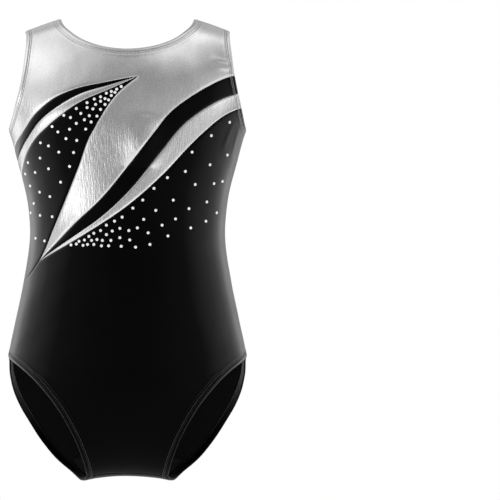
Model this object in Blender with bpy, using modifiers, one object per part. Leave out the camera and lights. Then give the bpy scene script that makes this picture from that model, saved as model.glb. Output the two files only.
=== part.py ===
"""Sleeveless gymnastics leotard in a child's size, in its worn shape, panel by panel.

Metres, +Z up. The front faces -Y and the wearer's left is +X. The origin is midway between the
neck ends of the two shoulder seams, so the garment hangs below z = 0.

The garment is laid out on one smooth torso. A place on it is a pattern point (u, v) on the front
or back sheet: u runs round the body from its centre line to a side seam, and v runs up it. Seams
and edges are curves through a few points, each given as it is seen from the front, at (x, z).
"""

import math

import bpy
import numpy as np
from mathutils import Vector
from mathutils.geometry import delaunay_2d_cdt

NAME = "gymnastics_leotard"

# ---------------------------------------------------------------- driving dimensions
# Half-width of the torso at a height. Above the underarm and below the hip it is the width that
# the shape would have if it went on past the armhole and the leg opening.
HALF_WIDTH = (
    (-0.520, 0.1420), (-0.440, 0.1402), (-0.404, 0.1370), (-0.378, 0.1338), (-0.340, 0.1258),
    (-0.292, 0.1160), (-0.240, 0.1092), (-0.200, 0.1128), (-0.160, 0.1228), (-0.124, 0.1330),
    (-0.095, 0.1440), (-0.055, 0.1522), (0.020, 0.1535),
)
# Depth of the front and the back from the plane of the side seams.
FRONT_DEPTH = (
    (-0.520, 0.076), (-0.400, 0.079), (-0.300, 0.080), (-0.240, 0.076), (-0.180, 0.080),
    (-0.124, 0.084), (0.020, 0.083),
)
BACK_DEPTH = (
    (-0.520, 0.094), (-0.400, 0.096), (-0.330, 0.084), (-0.240, 0.063), (-0.180, 0.073),
    (-0.110, 0.083), (0.020, 0.074),
)
CHEST_Z = -0.124        # above this the torso rounds over towards the shoulders
SEAT_Z = -0.400         # below this it rounds under towards the crotch
SHOULDER_TOP = 0.0100   # the shoulder line at the centre, if it were not cut away by the neck
SHOULDER_FALL = 1.833   # how fast that line falls outwards: z = SHOULDER_TOP - FALL * x * x
CROTCH_Z = -0.5118      # the lowest line of the garment, at the centre
CROTCH_FALL = 2.11      # how fast it falls outwards

GIRTH_SCALE = 0.108     # pattern metres for each radian round the body
SHOULDER_SCALE = 0.108  # pattern metres for each radian over the shoulder
CROTCH_SCALE = 0.095    # pattern metres for each radian under the seat
CROTCH_SEAM = math.radians(75.0)  # the crotch seam lies this far under, on the front sheet

UNDERARM_Z = -0.124
HIP_Z = -0.378
NECK_X = 0.074          # neck end of a shoulder seam
SHOULDER_X = 0.115      # armhole end of a shoulder seam
CROTCH_X = 0.0455       # half the width of the crotch seam

VELVET = 0.0009         # thickness of the stretch velvet
FOIL = 0.0006           # thickness of the foiled spandex
SEAM_GAP = 0.00025      # each panel stops this far short of its seam line
TIP_WIDTH = 0.0014      # a panel's sharp tip ends where it is this wide
PANEL_MESH = 0.017      # size of the triangles inside a panel
MESH_ROW = PANEL_MESH * math.sqrt(0.75)  # from one row of their corners to the next
OUTLINE_STEP = 0.009    # length of the steps along a panel's outline
FINE_STEP = 0.001       # length of the steps along a seam curve
CURVE_SAMPLES = 12      # read from a smooth curve for each of its points
WIDTH_ROUNDS = 12       # height and width depend on each other, and settle in this many rounds
SLOPE_STEP = 1e-5       # pattern distance over which the surface's slopes are taken
SAME_PLACE = 0.3 * FINE_STEP      # outline points closer than this are one point
CORNER_TURN = math.radians(20.0)  # an outline that turns more than this has a corner
EDGE_CLEARANCE = 0.55 * PANEL_MESH  # from a panel's outline to the triangles' inner points

ELASTIC_EDGE = 0.001    # from the garment's edge to the elastic
ELASTIC_WIDTH = 0.0055
ELASTIC_THICK = 0.0006
ELASTIC_DEPTH = 0.0021  # from the outer face of the fabric to the elastic
STITCH_INSET = 0.0056   # from the garment's edge to the row of coverstitch
STITCH_RADIUS = 0.0003
STITCH_LIFT = 0.0008
LOOP_STEP = 0.009       # length of the steps round an opening
OVERLOCK_RADIUS = 0.0009
OVERLOCK_DEPTH = 0.0027
OVERLOCK_STEP = 0.010
OVERLOCK_TO_HEM = 0.010   # left without overlock where a seam meets a hem
OVERLOCK_TO_SEAM = 0.005  # left without overlock where a seam meets another seam
LINING_DEPTH = 0.0042
LINING_THICK = 0.0005
# The lining's left edge: half its width, and how many degrees under the seat line.
LINING_EDGE = ((0.0600, 55.0), (0.0500, 70.0), (0.0405, 88.0), (0.0360, 105.0), (0.0400, 132.0))

FRONT, BACK = -1, 1
LEFT, RIGHT = 1, -1     # the wearer's left and right

MATERIALS = {
    # name: (colour, roughness, metallic)
    "black_stretch_velvet": ((0.006, 0.006, 0.007), 0.85, 0.0),
    "silver_foil_spandex": ((0.62, 0.62, 0.63), 0.34, 0.9),
    "white_braided_elastic": ((0.80, 0.80, 0.78), 0.8, 0.0),
    "grey_polyester_thread": ((0.45, 0.45, 0.46), 0.6, 0.0),
    "black_polyester_thread": ((0.02, 0.02, 0.02), 0.6, 0.0),
    "black_cotton_lining": ((0.03, 0.03, 0.03), 0.9, 0.0),
}


# ---------------------------------------------------------------- curves
def hermite(knots, values, at):
    """Smooth curve through values at rising knots, read at the given places."""
    knots = np.asarray(knots, float)
    values = np.asarray(values, float).reshape(len(knots), -1)
    at = np.clip(np.asarray(at, float), knots[0], knots[-1])
    gaps = np.diff(knots)[:, None]
    slopes = np.diff(values, axis=0) / gaps
    tangents = np.empty_like(values)
    tangents[1:-1] = (slopes[:-1] * gaps[1:] + slopes[1:] * gaps[:-1]) / (gaps[:-1] + gaps[1:])
    tangents[0] = 1.5 * slopes[0] - 0.5 * tangents[1] if len(knots) > 2 else slopes[0]
    tangents[-1] = 1.5 * slopes[-1] - 0.5 * tangents[-2] if len(knots) > 2 else slopes[0]
    index = np.clip(np.searchsorted(knots, at, side="right") - 1, 0, len(knots) - 2)
    gap = gaps[index]
    t = (at - knots[index])[..., None] / gap
    start = (1 + 2 * t) * (1 - t) ** 2 * values[index] + t * (1 - t) ** 2 * gap * tangents[index]
    end = t * t * (3 - 2 * t) * values[index + 1] + t * t * (t - 1) * gap * tangents[index + 1]
    return start + end


def profile(table, z):
    """A dimension that changes with height, read at z."""
    heights, sizes = zip(*table)
    return hermite(heights, sizes, z)[..., 0]


def lengths_along(points):
    steps = np.linalg.norm(np.diff(points, axis=0), axis=1)
    return np.concatenate(([0.0], np.cumsum(steps)))


def resample(points, step):
    """Evenly spaced points along a line of points, its two ends included."""
    along = lengths_along(points)
    count = max(1, round(along[-1] / step))
    places = np.linspace(0.0, along[-1], count + 1)
    return np.stack([np.interp(places, along, column) for column in points.T], axis=1)


def smooth_curve(points):
    """A smooth curve through a few pattern points, in fine steps."""
    points = np.array(points, float)
    along = lengths_along(points)
    places = np.linspace(0.0, along[-1], CURVE_SAMPLES * len(points) + 1)
    return resample(hermite(along, points, places), FINE_STEP)


def piece(curve, start, end):
    """The stretch of a curve from start to end, two points that lie on it."""
    first = int(np.argmin(np.linalg.norm(curve - start, axis=1)))
    last = int(np.argmin(np.linalg.norm(curve - end, axis=1)))
    stretch = curve[first:last + 1] if first <= last else curve[last:first + 1][::-1]
    return np.concatenate([[start], stretch[1:-1], [end]])


def trimmed(curve, start, end):
    """A curve without its first and last stretches, whose lengths are given."""
    along = lengths_along(curve)
    return curve[(along >= start) & (along <= along[-1] - end)]


# ---------------------------------------------------------------- the torso
def shoulder_line(x):
    return SHOULDER_TOP - SHOULDER_FALL * x * x


def crotch_line(x):
    return CROTCH_Z - CROTCH_FALL * x * x


def seen(x, z):
    """Pattern point of a place seen at (x, z) from the front or from behind."""
    u = GIRTH_SCALE * math.asin(max(-1.0, min(1.0, x / float(profile(HALF_WIDTH, z)))))
    if z > CHEST_Z:
        turn = math.asin(min(1.0, (z - CHEST_Z) / (shoulder_line(x) - CHEST_Z)))
        return (u, CHEST_Z + SHOULDER_SCALE * turn)
    if z < SEAT_Z:
        turn = math.asin(min(1.0, (SEAT_Z - z) / (SEAT_Z - crotch_line(x))))
        return (u, SEAT_Z - CROTCH_SCALE * turn)
    return (u, z)


def on_side(hand, z):
    """Pattern point on a side seam."""
    return (hand * GIRTH_SCALE * math.pi / 2, z)


def on_shoulder(x):
    """Pattern point on a shoulder seam."""
    return seen(x, shoulder_line(x))


def under_seat(x, turn):
    """Pattern point on the lower round, turn radians below the seat line."""
    width = float(profile(HALF_WIDTH, SEAT_Z + (crotch_line(x) - SEAT_Z) * math.sin(turn)))
    return (GIRTH_SCALE * math.asin(x / width), SEAT_Z - CROTCH_SCALE * turn)


def torso(u, v, sheet):
    """Points of the torso's surface. Past a side seam or the crotch it goes on to the other
    sheet."""
    a = np.asarray(u) / GIRTH_SCALE
    v = np.asarray(v)
    over = np.maximum(v - CHEST_Z, 0.0) / SHOULDER_SCALE
    under = np.maximum(SEAT_Z - v, 0.0) / CROTCH_SCALE
    x = np.zeros_like(a + v)
    z = v + x
    for _ in range(WIDTH_ROUNDS):
        high = CHEST_Z + (shoulder_line(x) - CHEST_Z) * np.sin(over)
        low = SEAT_Z + (crotch_line(x) - SEAT_Z) * np.sin(under)
        z = np.where(v > CHEST_Z, high, np.where(v < SEAT_Z, low, v))
        x = profile(HALF_WIDTH, z) * np.sin(a)
    out = sheet * np.cos(a) * np.cos(over) * np.cos(under)
    depth = np.where(out < 0.0, profile(FRONT_DEPTH, z), profile(BACK_DEPTH, z))
    return np.stack([x, out * depth, z], axis=-1)


def torso_slopes(u, v, sheet):
    """How the surface moves with u and with v, and its outward normal."""
    step = SLOPE_STEP
    along_u = (torso(u + step, v, sheet) - torso(u - step, v, sheet)) / (2 * step)
    along_v = (torso(u, v + step, sheet) - torso(u, v - step, sheet)) / (2 * step)
    normal = np.cross(along_v, along_u) * sheet
    normal /= np.linalg.norm(normal, axis=-1, keepdims=True)
    return along_u, along_v, normal


def at_depth(points, sheet, depth):
    """Pattern points as places in space, depth below the outer face of the fabric."""
    u, v = points[:, 0], points[:, 1]
    return torso(u, v, sheet) - depth * torso_slopes(u, v, sheet)[2]


# ---------------------------------------------------------------- edges and seams
def neck_edge(*right_half):
    """A neck edge from the right shoulder to the left, from the points of its right half."""
    left_half = [(-x, z) for x, z in reversed(right_half) if x < 0.0]
    points = [seen(x, z) for x, z in list(right_half) + left_half]
    return smooth_curve([on_shoulder(-NECK_X)] + points + [on_shoulder(NECK_X)])


FRONT_NECK = neck_edge((-0.0655, -0.0122), (-0.050, -0.0228), (-0.030, -0.0300), (0.0, -0.0335))
BACK_NECK = neck_edge((-0.0690, -0.0100), (-0.052, -0.0240), (-0.030, -0.0316), (0.0, -0.0350))


def armhole_edge(hand, *points):
    """An armhole's edge on one sheet, from the shoulder seam to the underarm."""
    middle = [seen(hand * x, z) for x, z in points]
    return smooth_curve([on_shoulder(hand * SHOULDER_X)] + middle + [on_side(hand, UNDERARM_Z)])


FRONT_ARMHOLE = {
    LEFT: armhole_edge(LEFT, (0.1166, -0.036), (0.1200, -0.062), (0.1243, -0.084),
                       (0.1292, -0.106), (0.1320, -0.1192)),
    RIGHT: armhole_edge(RIGHT, (0.1146, -0.036), (0.1180, -0.062), (0.1227, -0.084),
                        (0.1284, -0.106), (0.1320, -0.1192)),
}
BACK_ARMHOLE = {
    LEFT: armhole_edge(LEFT, (0.1154, -0.025), (0.1173, -0.046), (0.1207, -0.068),
                       (0.1256, -0.092), (0.1302, -0.112), (0.1322, -0.1195)),
    RIGHT: armhole_edge(RIGHT, (0.1140, -0.025), (0.1153, -0.046), (0.1188, -0.068),
                        (0.1243, -0.092), (0.1297, -0.112), (0.1322, -0.1195)),
}


def leg_edge(hand, points, crotch_turns):
    """A leg opening's edge on one sheet, from the hip to the crotch seam."""
    middle = [seen(hand * x, z) for x, z in points]
    crotch = [under_seat(hand * x, turn) for x, turn in crotch_turns]
    return smooth_curve([on_side(hand, HIP_Z)] + middle + crotch)


FRONT_LEG = {
    hand: leg_edge(hand, ((0.1290, -0.3835), (0.1205, -0.3900), (0.1115, -0.3975),
                          (0.1090, -0.4000), (0.1065, -0.4025), (0.0960, -0.4138),
                          (0.0800, -0.4340), (0.0610, -0.4670), (0.0515, -0.4900)),
                   ((CROTCH_X, CROTCH_SEAM),))
    for hand in (LEFT, RIGHT)
}
BACK_LEG = {
    hand: leg_edge(hand, ((0.1330, -0.3835), (0.1328, -0.3930), (0.1324, -0.3975),
                          (0.1321, -0.4000), (0.1317, -0.4025), (0.1290, -0.4150),
                          (0.1220, -0.4330), (0.1130, -0.4490), (0.0990, -0.4710),
                          (0.0810, -0.4930), (0.0640, -0.5075)),
                   ((0.0505, math.pi / 2), (CROTCH_X, math.pi - CROTCH_SEAM)))
    for hand in (LEFT, RIGHT)
}

SIDE_SEAM = {
    hand: smooth_curve([on_side(hand, UNDERARM_Z), on_side(hand, HIP_Z)]) for hand in (LEFT, RIGHT)
}
SHOULDER_SEAM = {
    hand: smooth_curve([on_shoulder(hand * x) for x in (NECK_X, 0.5 * (NECK_X + SHOULDER_X),
                                                         SHOULDER_X)])
    for hand in (LEFT, RIGHT)
}
FRONT_CROTCH = smooth_curve([under_seat(x, CROTCH_SEAM) for x in (CROTCH_X, 0.0, -CROTCH_X)])
BACK_CROTCH = smooth_curve([under_seat(x, math.pi - CROTCH_SEAM)
                            for x in (CROTCH_X, 0.0, -CROTCH_X)])


def seam(start, points, end):
    return smooth_curve([start] + [seen(x, z) for x, z in points] + [end])


def armhole_point(edge, z):
    """The place on an armhole's edge at height z."""
    heights = torso(edge[:, 0], edge[:, 1], FRONT)[:, 2]
    return tuple(edge[int(np.argmin(np.abs(heights - z)))])


# Front. The crescents meet at one tip near the centre and the sweep's stripes run to another
# tip at the right waist. The stripes reach the right side seam at the same heights as at the back.
CRESCENT_TIP = seen(0.0125, -0.0645)
SWEEP_TIP = seen(-0.0995, -0.2715)
BLACK_TOP_SIDE = on_side(RIGHT, -0.147)
BLACK_SILVER_SIDE = on_side(RIGHT, -0.160)
SILVER_LOW_SIDE = on_side(RIGHT, -0.177)
SIDE_PANEL_LOW = on_side(RIGHT, -0.292)

FRONT_BLACK_TOP = seam(CRESCENT_TIP, ((-0.020, -0.0705), (-0.060, -0.0795), (-0.080, -0.0880),
                                      (-0.100, -0.1035), (-0.120, -0.1310)), BLACK_TOP_SIDE)
FRONT_BLACK_SILVER = seam(CRESCENT_TIP, ((-0.020, -0.0742), (-0.050, -0.0830), (-0.080, -0.0995),
                                         (-0.100, -0.1162), (-0.113, -0.1350),
                                         (-0.121, -0.1500)), BLACK_SILVER_SIDE)
FRONT_SILVER_LOW = seam(CRESCENT_TIP, ((-0.020, -0.0792), (-0.050, -0.0920), (-0.080, -0.1125),
                                       (-0.100, -0.1305), (-0.113, -0.1500),
                                       (-0.1175, -0.1650)), SILVER_LOW_SIDE)
SIDE_PANEL_SEAM = seam(CRESCENT_TIP, ((-0.010, -0.0825), (-0.030, -0.1100), (-0.0410, -0.1295),
                                      (-0.055, -0.1660), (-0.070, -0.2030), (-0.085, -0.2390),
                                      (-0.0995, -0.2715), (-0.1065, -0.2820)), SIDE_PANEL_LOW)
SWEEP_TOP = seam(armhole_point(FRONT_ARMHOLE[LEFT], -0.0635),
                 ((0.110, -0.0670), (0.090, -0.0765), (0.070, -0.0885), (0.050, -0.1035),
                  (0.030, -0.1270), (0.000, -0.1660), (-0.030, -0.2020), (-0.060, -0.2300),
                  (-0.085, -0.2560)), SWEEP_TIP)
SWEEP_MIDDLE = seam(armhole_point(FRONT_ARMHOLE[LEFT], -0.0835),
                    ((0.110, -0.0885), (0.080, -0.1052), (0.060, -0.1218), (0.040, -0.1460),
                     (0.000, -0.1945), (-0.030, -0.2220), (-0.060, -0.2430),
                     (-0.085, -0.2600)), SWEEP_TIP)
SWEEP_LOW = seam(armhole_point(FRONT_ARMHOLE[LEFT], -0.1005),
                 ((0.110, -0.1080), (0.090, -0.1235), (0.070, -0.1425), (0.040, -0.1745),
                  (0.000, -0.2095), (-0.040, -0.2362), (-0.070, -0.2540)), SWEEP_TIP)

# Back. The yoke's seam leaves the left armhole, and the two stripes grow out of it.
SILVER_BACK_TIP = seen(0.064, -0.0722)
BLACK_BACK_TIP = seen(0.039, -0.0752)
YOKE_SEAM = seam(armhole_point(BACK_ARMHOLE[LEFT], -0.0545),
                 ((0.108, -0.0592), (0.089, -0.0650)), SILVER_BACK_TIP)
BACK_SILVER_LOW = seam(SILVER_BACK_TIP, ((0.029, -0.0820), (-0.001, -0.0900), (-0.031, -0.0985),
                                         (-0.051, -0.1065), (-0.071, -0.1195),
                                         (-0.091, -0.1400), (-0.1105, -0.1640)), SILVER_LOW_SIDE)
BACK_SILVER_TOP = seam(SILVER_BACK_TIP, ((0.039, -0.0752), (-0.001, -0.0815), (-0.041, -0.0885),
                                         (-0.061, -0.0945), (-0.081, -0.1080),
                                         (-0.101, -0.1287), (-0.119, -0.1505)), BLACK_SILVER_SIDE)
BACK_BLACK_TOP = seam(BLACK_BACK_TIP, ((-0.001, -0.0760), (-0.041, -0.0765), (-0.061, -0.0805),
                                       (-0.081, -0.0905), (-0.101, -0.1102),
                                       (-0.1205, -0.1330)), BLACK_TOP_SIDE)


# ---------------------------------------------------------------- outlines
def distance_to_outline(points, outline):
    """Distance from each point to a closed outline."""
    starts = outline
    runs = np.roll(outline, -1, axis=0) - outline
    offsets = points[:, None, :] - starts[None, :, :]
    share = np.sum(offsets * runs, axis=2) / np.maximum(np.sum(runs * runs, axis=1), 1e-12)
    nearest = starts + np.clip(share, 0.0, 1.0)[..., None] * runs
    return np.min(np.linalg.norm(points[:, None, :] - nearest, axis=2), axis=1)


def inside_outline(points, outline):
    """Which points lie inside a closed outline, by counting the edges to their right."""
    x, y = points[:, 0:1], points[:, 1:2]
    following = np.roll(outline, -1, axis=0)
    low, high = outline[:, 1] <= y, following[:, 1] <= y
    rise = np.where(following[:, 1] == outline[:, 1], 1.0, following[:, 1] - outline[:, 1])
    crossing = outline[:, 0] + (y - outline[:, 1]) / rise * (following[:, 0] - outline[:, 0])
    return np.sum((low != high) & (crossing > x), axis=1) % 2 == 1


def joined(stretches):
    """One closed outline from stretches that follow each other, turning anticlockwise."""
    points = np.concatenate(stretches)
    apart = np.linalg.norm(points - np.roll(points, 1, axis=0), axis=1) > SAME_PLACE
    points = points[apart]
    following = np.roll(points, -1, axis=0)
    area = np.sum(points[:, 0] * following[:, 1] - following[:, 0] * points[:, 1])
    return points if area > 0.0 else points[::-1]


def blunted(outline, width):
    """A closed outline in fine steps, its sharp tips cut off where they are this wide.

    At a tip two points are close together, but some way apart along the outline.
    """
    shortest_tip = 4 * width / FINE_STEP
    while True:
        count = len(outline)
        longest_tip = count / 3
        apart = np.linalg.norm(outline[:, None, :] - outline[None, :, :], axis=2)
        steps = (np.arange(count)[None, :] - np.arange(count)[:, None]) % count
        narrow = (apart < width) & (steps > shortest_tip) & (steps < longest_tip)
        if not narrow.any():
            return outline
        first, last = np.unravel_index(np.argmax(np.where(narrow, steps, 0)), narrow.shape)
        kept = (np.arange(count) - last) % count <= (first - last) % count
        outline = outline[kept]


def stepped(outline, step):
    """A fine outline in longer steps, with a point kept at each of its corners."""
    before = outline - np.roll(outline, 1, axis=0)
    after = np.roll(outline, -1, axis=0) - outline
    turn = np.arctan2(before[:, 0] * after[:, 1] - before[:, 1] * after[:, 0],
                      np.sum(before * after, axis=1))
    corners = [int(i) for i in np.nonzero(np.abs(turn) > CORNER_TURN)[0]]
    stretches = []
    for corner, following in zip(corners, corners[1:] + [corners[0] + len(outline)]):
        stretch = outline[np.arange(corner, following + 1) % len(outline)]
        stretches.append(resample(stretch, step)[:-1])
    return np.concatenate(stretches)


def inset(outline, gap):
    """A closed outline moved inwards by gap, its corners included."""
    after = np.roll(outline, -1, axis=0) - outline
    after /= np.linalg.norm(after, axis=1, keepdims=True)
    normal_after = np.stack([-after[:, 1], after[:, 0]], axis=1)
    normal_before = np.roll(normal_after, 1, axis=0)
    middle = normal_after + normal_before
    return outline + gap * middle / (1.0 + np.sum(normal_after * normal_before, axis=1))[:, None]


# ---------------------------------------------------------------- solids
def start_scene():
    for old in list(bpy.data.objects):
        bpy.data.objects.remove(old)
    collection = bpy.data.collections.new(NAME)
    bpy.context.scene.collection.children.link(collection)
    root = bpy.data.objects.new(NAME + "_origin", None)
    collection.objects.link(root)
    return collection, root


def material(name):
    """The named material, made the first time that it is asked for."""
    made = bpy.data.materials.get(name)
    if made:
        return made
    colour, roughness, metallic = MATERIALS[name]
    made = bpy.data.materials.new(name)
    made.use_nodes = True
    shader = made.node_tree.nodes["Principled BSDF"]
    shader.inputs["Base Color"].default_value = (*colour, 1.0)
    shader.inputs["Roughness"].default_value = roughness
    shader.inputs["Metallic"].default_value = metallic
    return made


def add_object(name, data, centre, material_name):
    """A named object under the garment's origin, with its own origin at its centre."""
    made = bpy.data.objects.new(name, data)
    made.location = centre
    made.parent = ROOT
    COLLECTION.objects.link(made)
    data.materials.append(material(material_name))
    return made


def add_sheet(name, points, faces, thickness, material_name):
    """A sheet of fabric from its outer face, thickened inwards."""
    centre = points.mean(axis=0)
    mesh = bpy.data.meshes.new(name)
    mesh.from_pydata([tuple(p) for p in points - centre], [], faces)
    mesh.shade_smooth()
    made = add_object(name, mesh, centre, material_name)
    thicken = made.modifiers.new("thickness", "SOLIDIFY")
    thicken.thickness = thickness
    thicken.offset = -1.0
    thicken.use_even_offset = True


def add_panel(name, sheet, stretches, thickness, material_name, depth=0.0):
    """A panel of fabric inside an outline that is drawn in pattern points."""
    fine = blunted(joined(stretches), TIP_WIDTH)
    outline = inset(stepped(fine, OUTLINE_STEP), SEAM_GAP)
    low, high = outline.min(axis=0), outline.max(axis=0)
    rows = np.arange(low[1], high[1], MESH_ROW)
    grid = [(x + 0.5 * PANEL_MESH * (row % 2), y)
            for row, y in enumerate(rows)
            for x in np.arange(low[0], high[0], PANEL_MESH)]
    grid = np.array(grid)
    grid = grid[inside_outline(grid, outline)]
    grid = grid[distance_to_outline(grid, outline) > EDGE_CLEARANCE]
    count = len(outline)
    edges = [(i, (i + 1) % count) for i in range(count)]
    corners = [Vector(p) for p in np.concatenate([outline, grid])]
    inside_only = 1
    flat, _, faces, *_ = delaunay_2d_cdt(corners, edges, [], inside_only, 1e-9)
    if sheet == BACK:
        faces = [face[::-1] for face in faces]
    points = at_depth(np.array([tuple(p) for p in flat]), sheet, depth)
    add_sheet(name, points, faces, thickness, material_name)


def opening_line(stretches, distance, depth):
    """A closed line at a distance into the fabric from an opening's edge.

    The stretches are (edge curve, sheet) pairs that follow each other round the opening.
    """
    stations = []
    for curve, sheet in stretches:
        spaced = resample(curve, LOOP_STEP)[:-1]
        stations += [(u, v, sheet) for u, v in spaced]
    u, v, sheet = (np.array(column, float) for column in zip(*stations))
    edge = np.stack([torso(*station) for station in stations])
    slopes = [torso_slopes(*station) for station in stations]
    along_u, along_v, normal = (np.stack(part) for part in zip(*slopes))
    tangent = np.roll(edge, -1, axis=0) - np.roll(edge, 1, axis=0)
    inwards = np.cross(normal, tangent)
    inwards /= np.linalg.norm(inwards, axis=1, keepdims=True)
    if np.sum(inwards * (edge - edge.mean(axis=0))) < 0.0:
        inwards = -inwards
    line = []
    for i in range(len(stations)):
        basis = np.stack([along_u[i], along_v[i]], axis=1)
        shift = np.linalg.lstsq(basis, distance * inwards[i], rcond=None)[0]
        place = np.array([[u[i] + shift[0], v[i] + shift[1]]])
        line.append(at_depth(place, sheet[i], depth)[0])
    return np.array(line)


def add_elastic(name, stretches):
    """A flat elastic inside the hem of an opening."""
    near = opening_line(stretches, ELASTIC_EDGE, ELASTIC_DEPTH)
    far = opening_line(stretches, ELASTIC_EDGE + ELASTIC_WIDTH, ELASTIC_DEPTH)
    count = len(near)
    faces = [(i, (i + 1) % count, count + (i + 1) % count, count + i) for i in range(count)]
    points = np.concatenate([near, far])
    across = np.cross(near[1] - near[0], far[0] - near[0])
    outwards = near[0] - opening_line(stretches, ELASTIC_EDGE, 2 * ELASTIC_DEPTH)[0]
    if np.dot(across, outwards) < 0.0:
        faces = [face[::-1] for face in faces]
    add_sheet(name, points, faces, ELASTIC_THICK, "white_braided_elastic")


def add_cord(name, points, radius, material_name, closed=False):
    """A round thread along a line of points."""
    centre = points.mean(axis=0)
    data = bpy.data.curves.new(name, "CURVE")
    data.dimensions = "3D"
    data.bevel_depth = radius
    data.bevel_resolution = 0
    data.use_fill_caps = not closed
    spline = data.splines.new("POLY")
    spline.points.add(len(points) - 1)
    for target, point in zip(spline.points, points - centre):
        target.co = (*point, 1.0)
    spline.use_cyclic_u = closed
    add_object(name, data, centre, material_name)


def add_overlock(name, sheet, curve, start_trim, end_trim):
    """The overlocked edges behind a seam, kept clear of the hems and seams that it meets."""
    line = resample(trimmed(curve, start_trim, end_trim), OVERLOCK_STEP)
    add_cord(name, at_depth(line, sheet, OVERLOCK_DEPTH), OVERLOCK_RADIUS,
             "black_polyester_thread")


# ---------------------------------------------------------------- the garment
def add_front_panels():
    right_side, left_side = SIDE_SEAM[RIGHT], SIDE_SEAM[LEFT]
    left_armhole = FRONT_ARMHOLE[LEFT]
    add_panel("front_yoke_foil", FRONT, [
        FRONT_NECK,
        SHOULDER_SEAM[LEFT],
        piece(left_armhole, left_armhole[0], SWEEP_TOP[0]),
        SWEEP_TOP,
        piece(SIDE_PANEL_SEAM, SWEEP_TIP, CRESCENT_TIP),
        FRONT_BLACK_TOP,
        piece(right_side, BLACK_TOP_SIDE, right_side[0]),
        FRONT_ARMHOLE[RIGHT][::-1],
        SHOULDER_SEAM[RIGHT][::-1],
    ], FOIL, "silver_foil_spandex")
    add_panel("front_right_black_crescent", FRONT, [
        FRONT_BLACK_TOP,
        piece(right_side, BLACK_TOP_SIDE, BLACK_SILVER_SIDE),
        FRONT_BLACK_SILVER[::-1],
    ], VELVET, "black_stretch_velvet")
    add_panel("front_right_silver_crescent", FRONT, [
        FRONT_BLACK_SILVER,
        piece(right_side, BLACK_SILVER_SIDE, SILVER_LOW_SIDE),
        FRONT_SILVER_LOW[::-1],
    ], FOIL, "silver_foil_spandex")
    add_panel("front_right_side_panel", FRONT, [
        FRONT_SILVER_LOW,
        piece(right_side, SILVER_LOW_SIDE, SIDE_PANEL_LOW),
        SIDE_PANEL_SEAM[::-1],
    ], VELVET, "black_stretch_velvet")
    add_panel("front_left_black_sweep", FRONT, [
        SWEEP_TOP,
        SWEEP_MIDDLE[::-1],
        piece(left_armhole, SWEEP_MIDDLE[0], SWEEP_TOP[0]),
    ], VELVET, "black_stretch_velvet")
    add_panel("front_left_silver_sweep", FRONT, [
        SWEEP_MIDDLE,
        SWEEP_LOW[::-1],
        piece(left_armhole, SWEEP_LOW[0], SWEEP_MIDDLE[0]),
    ], FOIL, "silver_foil_spandex")
    add_panel("front_body", FRONT, [
        SWEEP_LOW,
        piece(SIDE_PANEL_SEAM, SWEEP_TIP, SIDE_PANEL_LOW),
        piece(right_side, SIDE_PANEL_LOW, right_side[-1]),
        FRONT_LEG[RIGHT],
        FRONT_CROTCH[::-1],
        FRONT_LEG[LEFT][::-1],
        left_side[::-1],
        piece(left_armhole, left_armhole[-1], SWEEP_LOW[0]),
    ], VELVET, "black_stretch_velvet")


def add_back_panels():
    right_side, left_side = SIDE_SEAM[RIGHT], SIDE_SEAM[LEFT]
    left_armhole = BACK_ARMHOLE[LEFT]
    add_panel("back_yoke_foil", BACK, [
        BACK_NECK,
        SHOULDER_SEAM[LEFT],
        piece(left_armhole, left_armhole[0], YOKE_SEAM[0]),
        YOKE_SEAM,
        piece(BACK_SILVER_TOP, SILVER_BACK_TIP, BLACK_BACK_TIP),
        BACK_BLACK_TOP,
        piece(right_side, BLACK_TOP_SIDE, right_side[0]),
        BACK_ARMHOLE[RIGHT][::-1],
        SHOULDER_SEAM[RIGHT][::-1],
    ], FOIL, "silver_foil_spandex")
    add_panel("back_black_crescent", BACK, [
        BACK_BLACK_TOP,
        piece(right_side, BLACK_TOP_SIDE, BLACK_SILVER_SIDE),
        piece(BACK_SILVER_TOP, BLACK_SILVER_SIDE, BLACK_BACK_TIP),
    ], VELVET, "black_stretch_velvet")
    add_panel("back_silver_crescent", BACK, [
        BACK_SILVER_TOP,
        piece(right_side, BLACK_SILVER_SIDE, SILVER_LOW_SIDE),
        BACK_SILVER_LOW[::-1],
    ], FOIL, "silver_foil_spandex")
    add_panel("back_body", BACK, [
        YOKE_SEAM,
        BACK_SILVER_LOW,
        piece(right_side, SILVER_LOW_SIDE, right_side[-1]),
        BACK_LEG[RIGHT],
        BACK_CROTCH[::-1],
        BACK_LEG[LEFT][::-1],
        left_side[::-1],
        piece(left_armhole, left_armhole[-1], YOKE_SEAM[0]),
    ], VELVET, "black_stretch_velvet")


def add_crotch_lining():
    """The lining spans the crotch seam. It is drawn on the back sheet and goes on to the front."""
    left = smooth_curve([under_seat(x, math.radians(turn)) for x, turn in LINING_EDGE])
    right = left * (-1, 1)
    back_end = resample(np.array([right[0], left[0]]), FINE_STEP)
    front_end = resample(np.array([left[-1], right[-1]]), FINE_STEP)
    add_panel("crotch_lining", BACK, [left, front_end, right[::-1], back_end],
              LINING_THICK, "black_cotton_lining", LINING_DEPTH)


def openings():
    """Each opening's name and its edge, as (curve, sheet) stretches that follow each other."""
    rims = {"neck": [(FRONT_NECK, FRONT), (BACK_NECK[::-1], BACK)]}
    for word, hand in (("left", LEFT), ("right", RIGHT)):
        rims[word + "_armhole"] = [(FRONT_ARMHOLE[hand], FRONT), (BACK_ARMHOLE[hand][::-1], BACK)]
        rims[word + "_leg"] = [(FRONT_LEG[hand], FRONT), (BACK_LEG[hand][::-1], BACK)]
    return rims


def add_hems():
    for name, rim in openings().items():
        add_elastic(name + "_elastic", rim)
        line = opening_line(rim, STITCH_INSET, -STITCH_LIFT)
        add_cord(name + "_coverstitch", line, STITCH_RADIUS, "grey_polyester_thread", closed=True)


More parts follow.
